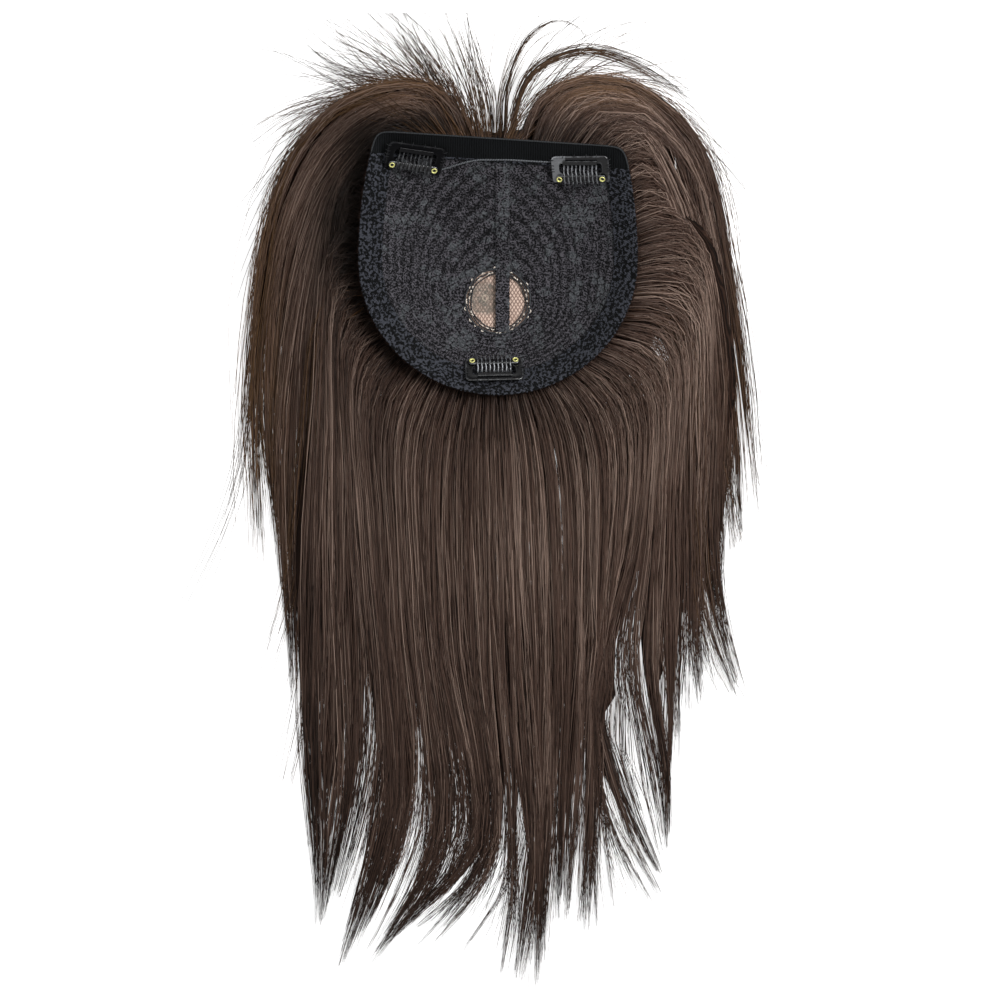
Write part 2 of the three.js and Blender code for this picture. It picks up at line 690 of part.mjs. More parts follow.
// A clip is flat and the cap is dished, so it rests on the highest places under it.
function seatClip(group, x, y, turn) {
  const heading = new THREE.Vector2(Math.cos(turn), Math.sin(turn));
  const surface = (across, along) => {
    const px = x + across * heading.x - along * heading.y;
    const py = y + across * heading.y + along * heading.x;
    return new THREE.Vector3(px, py, capTopAt(px, py));
  };
  const half = CLIP_LENGTH / 2;
  const acrossAxis = surface(half, 0).sub(surface(-half, 0)).normalize();
  const slope = surface(0, CLIP_BACK_REACH).sub(surface(0, -CLIP_LEG_REACH));
  const normal = new THREE.Vector3().crossVectors(acrossAxis, slope).normalize();
  const alongAxis = new THREE.Vector3().crossVectors(normal, acrossAxis);
  const centre = surface(0, 0);
  const stations = Array.from({ length: SEAT_STATIONS }, (_, i) => i / (SEAT_STATIONS - 1));
  const rows = stations.map((t) => t * (CLIP_BACK_REACH + CLIP_LEG_REACH) - CLIP_LEG_REACH);
  const columns = stations.map((t) => (2 * t - 1) * half);
  const lifts = rows.flatMap((along) => columns.map((across) => (
    surface(across, along).sub(centre).dot(normal)
  )));
  const lift = Math.max(...lifts) + CLIP_SEAT_GAP;
  group.position.copy(centre).addScaledVector(normal, lift);
  group.setRotationFromMatrix(new THREE.Matrix4().makeBasis(acrossAxis, alongAxis, normal));
}

function snapClip(seat) {
  const group = new THREE.Group();
  group.add(
    mesh(`clip_${seat.name}_frame`, clipFrame(), STEEL),
    mesh(`clip_${seat.name}_bar`, gripBar(), GRIP),
    mesh(`clip_${seat.name}_comb`, comb(), STEEL),
    mesh(`clip_${seat.name}_eyelet_left`, eyelet(-RIVET_PITCH / 2), GOLD),
    mesh(`clip_${seat.name}_eyelet_right`, eyelet(RIVET_PITCH / 2), GOLD),
  );
  const turn = THREE.MathUtils.degToRad(seat.turn);
  seatClip(group, seat.across * CAP_HALF_WIDTH, seat.along * seat.reach, turn);
  // The comb turns about its back edge, half way up its thickness.
  group.userData.hinge = new THREE.Vector3(0, COMB_ROOT_BACK, HINGE_HEIGHT);
  return group;
}

const group = new THREE.Group();
group.name = 'hair_topper';
group.add(
  mesh('cap_net', capNet(), LACE),
  mesh('edge_band', edgeBand(), KNIT),
  mesh('front_band', frontBand(), RIBBON),
  mesh('centre_strip', centreStrip(), LACE),
  mesh('crown_net', crownNet(), PALE_NET),
  mesh('weft_spiral', weftSpiral(), WEFT),
  mesh('hair', hair(), HAIR),
  ...CLIP_SEATS.map(snapClip),
);

export default group;
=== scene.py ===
"""Clip-in hair topper lying hair side down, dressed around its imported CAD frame.

The cap lies with its inside up: a lace net over rows of wefts, a knitted edge band, a ribbed
front band, a centre strip, a crown mesh and three snap clips. The hair lies under and around it.
All lengths are in metres, in the CAD's frame.
"""
import json
import logging
import math
from dataclasses import dataclass, field
from enum import Enum
from typing import Any

import bpy
import numpy as np
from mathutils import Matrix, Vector


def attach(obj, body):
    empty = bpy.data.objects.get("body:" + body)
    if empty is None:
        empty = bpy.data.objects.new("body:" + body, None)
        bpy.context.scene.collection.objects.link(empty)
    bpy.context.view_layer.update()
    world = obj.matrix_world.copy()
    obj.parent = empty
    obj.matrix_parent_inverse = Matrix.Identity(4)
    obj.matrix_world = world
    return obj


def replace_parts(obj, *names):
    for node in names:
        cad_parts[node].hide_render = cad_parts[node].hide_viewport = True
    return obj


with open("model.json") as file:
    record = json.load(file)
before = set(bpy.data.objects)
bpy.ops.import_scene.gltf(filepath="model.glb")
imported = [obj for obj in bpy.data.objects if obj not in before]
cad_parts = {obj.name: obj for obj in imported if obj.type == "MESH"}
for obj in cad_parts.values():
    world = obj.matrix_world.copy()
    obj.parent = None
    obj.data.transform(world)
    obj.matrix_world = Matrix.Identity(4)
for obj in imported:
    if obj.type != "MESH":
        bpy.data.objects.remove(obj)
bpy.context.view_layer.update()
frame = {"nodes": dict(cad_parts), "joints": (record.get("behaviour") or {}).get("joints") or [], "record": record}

logging.basicConfig(level=logging.INFO, format="%(message)s")
LOG = logging.getLogger("topper")

MM = 0.001
FULL_TURN = 2 * math.pi
TINY = 1e-12
SWAY_TURN = 6.28
NET_GAP = 2.6 * MM
TOPPER_BODY = "topper"


# Shader building


class Wire:
    """A node's output that takes part in arithmetic, each sum adding one Math node."""

    def __init__(self, paint: "Paint", socket: bpy.types.NodeSocket) -> None:
        """Keeps the socket and the node tree that it belongs to.

        Args:
            paint: The material's node tree.
            socket: The output that is wrapped.
        """
        self.paint = paint
        self.socket = socket

    def __add__(self, other: Any) -> "Wire":
        """Sum."""
        return self.paint.maths("ADD", self, other)

    __radd__ = __add__

    def __sub__(self, other: Any) -> "Wire":
        """Difference."""
        return self.paint.maths("SUBTRACT", self, other)

    def __rsub__(self, other: Any) -> "Wire":
        """Difference from a number."""
        return self.paint.maths("SUBTRACT", other, self)

    def __mul__(self, other: Any) -> "Wire":
        """Product."""
        return self.paint.maths("MULTIPLY", self, other)

    __rmul__ = __mul__

    def __pow__(self, other: Any) -> "Wire":
        """Power."""
        return self.paint.maths("POWER", self, other)

    def sine(self) -> "Wire":
        """Sine of the value in radians."""
        return self.paint.maths("SINE", self)

    def fraction(self) -> "Wire":
        """What is left over a whole number."""
        return self.paint.maths("FRACT", self)

    def size(self) -> "Wire":
        """The value without its sign."""
        return self.paint.maths("ABSOLUTE", self)

    def between(self, low: float, high: float) -> "Wire":
        """Smooth rise from 0 at low to 1 at high.

        Args:
            low: Where the rise starts.
            high: Where it ends.

        Returns:
            The eased value.
        """
        settings = {"interpolation_type": "SMOOTHSTEP"}
        sockets = {"Value": self, "From Min": low, "From Max": high}
        return self.paint.node("ShaderNodeMapRange", settings, sockets)

    def wave(self, length: float) -> "Wire":
        """A 0 to 1 wave along a coordinate.

        Args:
            length: One wave, in the coordinate's own unit.

        Returns:
            The wave.
        """
        return (self * (FULL_TURN / length)).sine() * 0.5 + 0.5


Colour = tuple[float, float, float]


def shade(red: int, green: int, blue: int) -> Colour:
    """Linear colour of an 8-bit display colour.

    Args:
        red: 0 to 255.
        green: 0 to 255.
        blue: 0 to 255.

    Returns:
        The linear colour.
    """
    def linear(value: int) -> float:
        """One channel, from display to linear."""
        share = value / 255
        return share / 12.92 if share <= 0.04045 else ((share + 0.055) / 1.055) ** 2.4

    return linear(red), linear(green), linear(blue)


class Paint:
    """The node tree of one material, its textures and its surface."""

    def __init__(self, name: str) -> None:
        """Makes an empty node material.

        Args:
            name: The material's name.
        """
        self.material = bpy.data.materials.new(name)
        self.material.use_nodes = True
        self.tree = self.material.node_tree
        self.tree.nodes.clear()

    def node(self, kind: str, settings: dict[str, Any] | None = None,
             sockets: dict[str | int, Any] | None = None, output: str | int = 0) -> Wire:
        """Adds any node.

        Args:
            kind: The node's type.
            settings: Its settings, set before its sockets.
            sockets: The values or wires of its inputs.
            output: The output that is returned.

        Returns:
            The chosen output.
        """
        made = self.tree.nodes.new(kind)
        for name, value in (settings or {}).items():
            setattr(made, name, value)
        for name, value in (sockets or {}).items():
            if isinstance(value, Wire):
                self.tree.links.new(value.socket, made.inputs[name])
            elif isinstance(value, tuple) and made.inputs[name].type == "RGBA":
                made.inputs[name].default_value = (*value, 1.0)
            else:
                made.inputs[name].default_value = value
        return Wire(self, made.outputs[output])

    def maths(self, operation: str, *inputs: Any) -> Wire:
        """Adds one Math node.

        Args:
            operation: The node's operation.
            inputs: Its one or two inputs, each a wire or a number.

        Returns:
            The node's output.
        """
        return self.node("ShaderNodeMath", {"operation": operation}, dict(enumerate(inputs)))

    def place(self) -> Wire:
        """The point on the piece, in the piece's own coordinates."""
        return self.node("ShaderNodeTexCoord", output="Object")

    def along(self, axis: str) -> Wire:
        """One coordinate of the point on the piece.

        Args:
            axis: X, Y or Z.

        Returns:
            The coordinate in metres.
        """
        return self.node("ShaderNodeSeparateXYZ", None, {0: self.place()}, axis)

    def stored(self, name: str) -> Wire:
        """A value kept at the mesh's points.

        Args:
            name: The attribute's name.

        Returns:
            The value.
        """
        return self.node("ShaderNodeAttribute", {"attribute_name": name}, None, "Fac")

    def noise(self, scale: float, detail: float = 2.0) -> Wire:
        """Soft noise from 0 to 1.

        Args:
            scale: Waves to the metre.
            detail: Number of finer layers.

        Returns:
            The noise.
        """
        sockets = {"Vector": self.place(), "Scale": scale, "Detail": detail}
        return self.node("ShaderNodeTexNoise", None, sockets)

    def cells(self, scale: float, feature: str = "DISTANCE_TO_EDGE") -> Wire:
        """Distances in a field of cells.

        Args:
            scale: Cells to the metre.
            feature: The Voronoi feature.

        Returns:
            The distance.
        """
        sockets = {"Vector": self.place(), "Scale": scale}
        return self.node("ShaderNodeTexVoronoi", {"feature": feature}, sockets)

    def blend(self, amount: Wire, low: Any, high: Any) -> Wire:
        """Mixes two colours.

        Args:
            amount: 0 gives the first colour, 1 the second.
            low: The first colour or wire.
            high: The second colour or wire.

        Returns:
            The mixed colour.
        """
        sockets = {0: amount, 6: low, 7: high}
        return self.node("ShaderNodeMix", {"data_type": "RGBA"}, sockets, 2)

    def relief(self, height: Wire, depth: float) -> Wire:
        """Normal of a bumped surface.

        Args:
            height: 0 to 1.
            depth: The relief between 0 and 1, in metres.

        Returns:
            The normal.
        """
        sockets = {"Height": height, "Distance": depth, "Strength": 1.0}
        return self.node("ShaderNodeBump", None, sockets)

    def surface(self, **sockets: Any) -> bpy.types.Material:
        """Adds the surface shader and ends the material.

        Args:
            sockets: The shader's inputs, with an underscore for each space.

        Returns:
            The finished material.
        """
        named = {name.replace("_", " "): value for name, value in sockets.items()}
        shader = self.node("ShaderNodeBsdfPrincipled", None, named)
        out = self.tree.nodes.new("ShaderNodeOutputMaterial")
        self.tree.links.new(shader.socket, out.inputs["Surface"])
        return self.material


# Finishes


class Slot(Enum):
    """The record's material slots."""

    HAIR = "hair"
    LACE = "lace"
    KNIT = "knit_band"
    RIBBON = "ribbon"
    PALE = "pale_net"
    WEFT = "weft"
    STEEL = "clip_steel"
    GRIP = "clip_grip"
    EYELET = "eyelet"


@dataclass(frozen=True)
class StrandFinish:
    """Fine strands of hair of their own tones, with painted highlight, shade and shadow, and a golden painted
    backlight along the outer edges.
    """

    dark: Colour = shade(27, 17, 12)
    middle: Colour = shade(82, 63, 54)
    light: Colour = shade(154, 132, 119)
    backlit_golden: Colour = shade(134, 98, 58)
    shaded: Colour = shade(12, 6, 3)
    patch_scale: float = 14.0
    patch_share: float = 0.6
    roughness: float = 0.38
    gloss: float = 0.22

    def material(self) -> bpy.types.Material:
        """Builds the material.

        Returns:
            The material.
        """
        paint = Paint("hair_strands")
        tone = paint.stored("tone")
        patch = paint.noise(self.patch_scale, 1.0) * 0.5 - 0.25
        level = tone + patch * self.patch_share
        lower = paint.blend(level.between(0.0, 0.5), self.dark, self.middle)
        whole = paint.blend(level.between(0.5, 1.0), lower, self.light)
        # Painted backlight: a golden colour mixed in along the hair's outer edges.
        backlit = paint.blend(paint.stored("gold"), whole, self.backlit_golden)
        return paint.surface(
            Base_Color=paint.blend(paint.stored("shadow"), backlit, self.shaded),
            Roughness=self.roughness,
            Specular_IOR_Level=self.gloss,
        )


@dataclass(frozen=True)
class UnderHairFinish:
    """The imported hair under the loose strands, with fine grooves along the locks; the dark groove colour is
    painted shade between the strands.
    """

    groove: Colour = shade(12, 7, 5)
    ridge: Colour = shade(54, 37, 29)
    strand_width: float = 0.9 * MM
    fine_share: float = 0.37
    fine_pace: float = 1.73
    wander: float = 3.0 * MM
    depth: float = 0.35 * MM

    def material(self) -> bpy.types.Material:
        """Builds the material.

        Returns:
            The material.
        """
        paint = Paint("hair_under")
        across = paint.stored("across")
        wander = paint.noise(60.0, 2.0) * self.wander
        strand = (across + wander).wave(self.strand_width)
        fine = (across * self.fine_pace + wander).wave(self.strand_width * self.fine_share)
        height = strand * 0.65 + fine * 0.35
        level = height * 0.7 + paint.noise(45.0, 2.0) * 0.45 - 0.1
        return paint.surface(
            Base_Color=paint.blend(level.between(0.1, 1.0), self.groove, self.ridge),
            Roughness=0.8,
            Specular_IOR_Level=0.08,
            Normal=paint.relief(height, self.depth),
        )


@dataclass(frozen=True)
class LaceFinish:
    """Charcoal stretch net with light threads, black dots, hatched rows and paler sprigs."""

    hole: Colour = shade(4, 4, 6)
    thread: Colour = shade(77, 75, 80)
    sprig: Colour = shade(82, 85, 88)
    dot: Colour = shade(8, 8, 9)
    furrow: Colour = shade(9, 9, 10)
    cell: float = 1.3 * MM
    hatch: float = 1.5 * MM
    hatch_lean: float = 2.2 * MM
    speck_scale: float = 1050.0
    sprig_scale: float = 80.0
    vein_scale: float = 230.0
    dot_scale: float = 330.0
    depth: float = 0.28 * MM

    def material(self) -> bpy.types.Material:
        """Builds the material.

        Returns:
            The material.
        """
        paint = Paint("lace_net")
        thread = 1 - paint.cells(1 / self.cell).between(0.06, 0.2)
        speck = paint.noise(self.speck_scale, 2.0).between(0.46, 0.58)
        row = paint.stored("row") + paint.noise(38.0, 2.0) * 0.9
        slanted = (paint.stored("arc") + row * self.hatch_lean).wave(self.hatch)
        rows = row.wave(1.0)
        rise = rows.between(0.1, 0.95)
        weave = thread * 0.35 + speck * 0.6 + slanted.between(0.3, 0.8) * rise * 0.2
        weave = weave.between(0.22, 0.85)
        patch = paint.noise(self.sprig_scale, 3.0).between(0.53, 0.58)
        sprig = patch * paint.cells(self.vein_scale).between(0.04, 0.12) * 0.9
        dots = 1 - paint.cells(self.dot_scale, "F1").between(0.17, 0.26)
        net = paint.blend(weave * (0.75 + 0.25 * rise), self.hole, self.thread)
        leafed = paint.blend(sprig * (0.45 + 0.55 * speck), net, self.sprig)
        dotted = paint.blend(dots * 0.8, leafed, self.dot)
        groove = (1 - rows.between(0.0, 0.22)) * paint.noise(30.0, 1.0).between(0.38, 0.6)
        return paint.surface(
            Base_Color=paint.blend(groove * 0.5, dotted, self.furrow),
            Roughness=0.82,
            Specular_IOR_Level=0.1,
            Sheen_Weight=0.03,
            Normal=paint.relief(weave + sprig * 0.5 - dots * 0.4, self.depth),
        )


@dataclass(frozen=True)
class KnitFinish:
    """Soft knitted elastic, its stitches lying in slanted columns."""

    valley: Colour = shade(3, 4, 5)
    loop: Colour = shade(62, 64, 71)
    column: float = 1.7 * MM
    stitch: float = 1.35 * MM
    wander: float = 0.9 * MM
    mottle_scale: float = 620.0
    depth: float = 0.5 * MM

    def material(self) -> bpy.types.Material:
        """Builds the material.

        Returns:
            The material.
        """
        paint = Paint("knit_band")
        across = paint.stored("across")
        arc = paint.stored("arc")
        wander = paint.noise(420.0, 2.0) * self.wander
        slanted = (arc + across * 1.1 + wander).wave(self.stitch)
        crossed = (arc - across * 0.7 + wander * 1.4).wave(self.column)
        fuzz = paint.noise(900.0, 3.0).between(0.3, 0.7)
        loops = slanted.between(0.2, 0.8) * (0.35 + crossed.between(0.2, 0.8) * 0.65)
        height = loops * 0.6 + fuzz * 0.4
        patch = paint.noise(50.0, 2.0) * 0.3
        mottle = paint.noise(self.mottle_scale, 2.0).between(0.44, 0.58)
        level = height * 0.4 + mottle * 0.75 + patch - 0.3
        return paint.surface(
            Base_Color=paint.blend(level.between(0.1, 0.95), self.valley, self.loop),
            Roughness=0.9,
            Specular_IOR_Level=0.1,
            Sheen_Weight=0.03,
            Normal=paint.relief(height, self.depth),
        )


@dataclass(frozen=True)
class RibbonFinish:
    """Dark ribbed ribbon, its fine ribs running from front to back."""

    valley: Colour = shade(3, 3, 4)
    rib: Colour = shade(20, 23, 25)
    pitch: float = 0.95 * MM
    thread_pitch: float = 0.45 * MM
    wander: float = 0.5 * MM
    depth: float = 0.35 * MM

    def material(self) -> bpy.types.Material:
        """Builds the material.

        Returns:
            The material.
        """
        paint = Paint("ribbed_ribbon")
        wander = paint.noise(300.0, 2.0) * self.wander
        rib = (paint.along("X") + wander).wave(self.pitch)
        thread = paint.along("Y").wave(self.thread_pitch)
        fuzz = paint.noise(900.0, 3.0)
        height = rib * (0.75 + thread * 0.25) + fuzz * 0.2
        level = height * (0.55 + paint.noise(40.0, 2.0) * 0.7)
        return paint.surface(
            Base_Color=paint.blend(level.between(0.15, 1.0), self.valley, self.rib),
            Roughness=0.8,
            Specular_IOR_Level=0.08,
            Sheen_Weight=0.03,
            Normal=paint.relief(height, self.depth),
        )


@dataclass(frozen=True)
class TrimFinish:
    """Twisted or braided trim such as piping, sewing thread and the crown's cord."""

    name: str
    dark: Colour
    light: Colour
    pitch: float = 0.6 * MM
    roughness: float = 0.7
    depth: float = 0.12 * MM

    def material(self) -> bpy.types.Material:
        """Builds the material.

        Returns:
            The material.
        """
        paint = Paint(self.name)
        twist = (paint.stored("arc") + paint.stored("around") * self.pitch).wave(self.pitch)
        fuzz = paint.noise(1500.0, 2.0)
        level = twist * 0.65 + fuzz * 0.35
        return paint.surface(
            Base_Color=paint.blend(level.between(0.15, 0.9), self.dark, self.light),
            Roughness=self.roughness,
            Specular_IOR_Level=0.35,
            Normal=paint.relief(level, self.depth),
        )


@dataclass(frozen=True)
class CrownFinish:
    """Pale mesh with diamond holes and, at its left, a thin grey veil with a flower on it."""

    pale: Colour = shade(206, 181, 166)
    line: Colour = shade(100, 78, 68)
    veil: Colour = shade(92, 89, 82)
    mark: Colour = shade(170, 158, 142)
    shaded: Colour = shade(140, 110, 94)
    pitch: float = 2.0 * MM
    slant: float = 0.62
    flower_x: float = -7.0 * MM
    flower_y: float = 2.0 * MM
    flower_reach: float = 7.6 * MM
    petals: float = 5.0
    petal_rise: float = 0.7 * MM
    ring: float = 1.5 * MM
    depth: float = 0.25 * MM

    def lines(self, paint: Paint, east: Wire, north: Wire) -> Wire:
        """The mesh's threads, which cross each other at a slant.

        Args:
            paint: The material's node tree.
            east: Place across.
            north: Place along.

        Returns:
            1 on a thread, 0 in a hole.
        """
        threads = []
        for slant in (self.slant, -self.slant):
            place = ((east + north * slant) * (1 / self.pitch)).fraction()
            threads.append((place - 0.5).size().between(0.26, 0.42))
        return paint.maths("MAXIMUM", *threads)

    def material(self) -> bpy.types.Material:
        """Builds the material.

        Returns:
            The material.
        """
        paint = Paint("crown_mesh")
        east, north = paint.along("X"), paint.along("Y")
        lines = self.lines(paint, east, north)
        net = paint.blend(lines * 0.75, self.pale, self.line)
        aside, ahead = east - self.flower_x, north - self.flower_y
        reach = (aside * aside + ahead * ahead) ** 0.5
        turn = paint.maths("ARCTAN2", ahead, aside)
        outline = self.flower_reach + (turn * self.petals).sine() * self.petal_rise
        outline = outline + paint.noise(260.0, 2.0) * (3.0 * MM)
        veil = 1 - (reach - outline).between(-1.2 * MM, 1.4 * MM)
        ring = 1 - (reach - self.ring).size().between(0.2 * MM, 0.6 * MM)
        ribs = (turn * (2 * self.petals)).sine().between(0.75, 0.95)
        cover = veil * (0.5 + paint.noise(650.0, 2.0).between(0.35, 0.65) * 0.45)
        veiled = paint.blend(cover, net, self.veil)
        marked = paint.blend((ring + ribs * veil * 0.12) * 0.6, veiled, self.mark)
        shadow = paint.noise(180.0, 2.0).between(0.4, 0.75) * 0.28
        return paint.surface(
            Base_Color=paint.blend(shadow, marked, self.shaded),
            Roughness=0.7,
            Specular_IOR_Level=0.3,
            Normal=paint.relief(lines, self.depth),
        )


@dataclass(frozen=True)
class EnamelFinish:
    """Black lacquered spring steel, lighter along its rolled edges with wear and a painted highlight, and with a
    painted reflection west of lit_west_of.
    """

    name: str = "clip_enamel"
    lacquer: Colour = shade(9, 9, 11)
    wear_and_glint: Colour = shade(150, 152, 156)
    edge_wear_and_glint: float = 0.3
    roughness: float = 0.16
    lit_west_of: float = -1.0
    lit_blur: float = 0.4 * MM
    gloss: float = 0.6

    def material(self) -> bpy.types.Material:
        """Builds the material.

        Returns:
            The material.
        """
        paint = Paint(self.name)
        edge = paint.stored("edge")
        scuff = paint.noise(420.0, 3.0)
        # Painted light: the scuffed edge value lightens rolled edges and tooth tops as wear and a painted
        # highlight, and the part west of lit_west_of takes a painted reflection.
        first, last = self.lit_west_of - self.lit_blur, self.lit_west_of + self.lit_blur
        leg = 1 - paint.along("X").between(first, last)
        bright = edge * scuff.between(0.35, 0.75) * self.edge_wear_and_glint + leg * 0.8
        return paint.surface(
            Base_Color=paint.blend(bright, self.lacquer, self.wear_and_glint),
            Metallic=bright * 0.9,
            Roughness=self.roughness + scuff * 0.16,
            Specular_IOR_Level=self.gloss * 0.8,
            Coat_Weight=self.gloss,
            Coat_Roughness=0.08,
            Normal=paint.relief(paint.noise(260.0, 2.0), 0.05 * MM),
        )


@dataclass(frozen=True)
class GripFinish:
    """Glossy smoky grip strip, with a painted sheen in the paler rim colour along its edges."""

    deep: Colour = shade(14, 14, 16)
    rim: Colour = shade(120, 122, 124)

    def material(self) -> bpy.types.Material:
        """Builds the material.

        Returns:
            The material.
        """
        paint = Paint("clip_grip")
        edge = paint.stored("edge")
        cloud = paint.noise(600.0, 2.0)
        return paint.surface(
            Base_Color=paint.blend(edge * (0.25 + cloud * 0.5), self.deep, self.rim),
            Roughness=0.12 + cloud * 0.15,
            Coat_Weight=0.8,
            Coat_Roughness=0.1,
            Normal=paint.relief(cloud, 0.06 * MM),
        )


@dataclass(frozen=True)
class EyeletFinish:
    """Pale brass eyelets with a soft polish and faint tarnish."""

    bright: Colour = shade(232, 230, 150)
    tarnish: Colour = shade(150, 138, 66)

    def material(self) -> bpy.types.Material:
        """Builds the material.

        Returns:
            The material.
        """
        paint = Paint("clip_eyelet")
        stain = paint.noise(900.0, 3.0).between(0.45, 0.8)
        return paint.surface(
            Base_Color=paint.blend(stain, self.bright, self.tarnish),
            Metallic=0.35 - stain * 0.2,
            Roughness=0.3 + stain * 0.2,
            Normal=paint.relief(stain, 0.03 * MM),
        )


@dataclass(frozen=True)
class FloorFinish:
    """Matt white studio floor, lit evenly so that it stays white between the strands."""

    colour: Colour = (0.6, 0.6, 0.6)
    grain: Colour = (0.7, 0.7, 0.7)
    light: Colour = (1.0, 1.0, 1.0)
    glow: float = 0.72

    def material(self) -> bpy.types.Material:
        """Builds the material.

        Returns:
            The material.
        """
        paint = Paint("studio_floor")
        grain = paint.noise(3.0, 2.0) * 0.02
        return paint.surface(
            Base_Color=paint.blend(grain, self.colour, self.grain),
            Roughness=0.95,
            Emission_Color=self.light,
            Emission_Strength=self.glow,
            Specular_IOR_Level=0.1,
        )


# Meshes


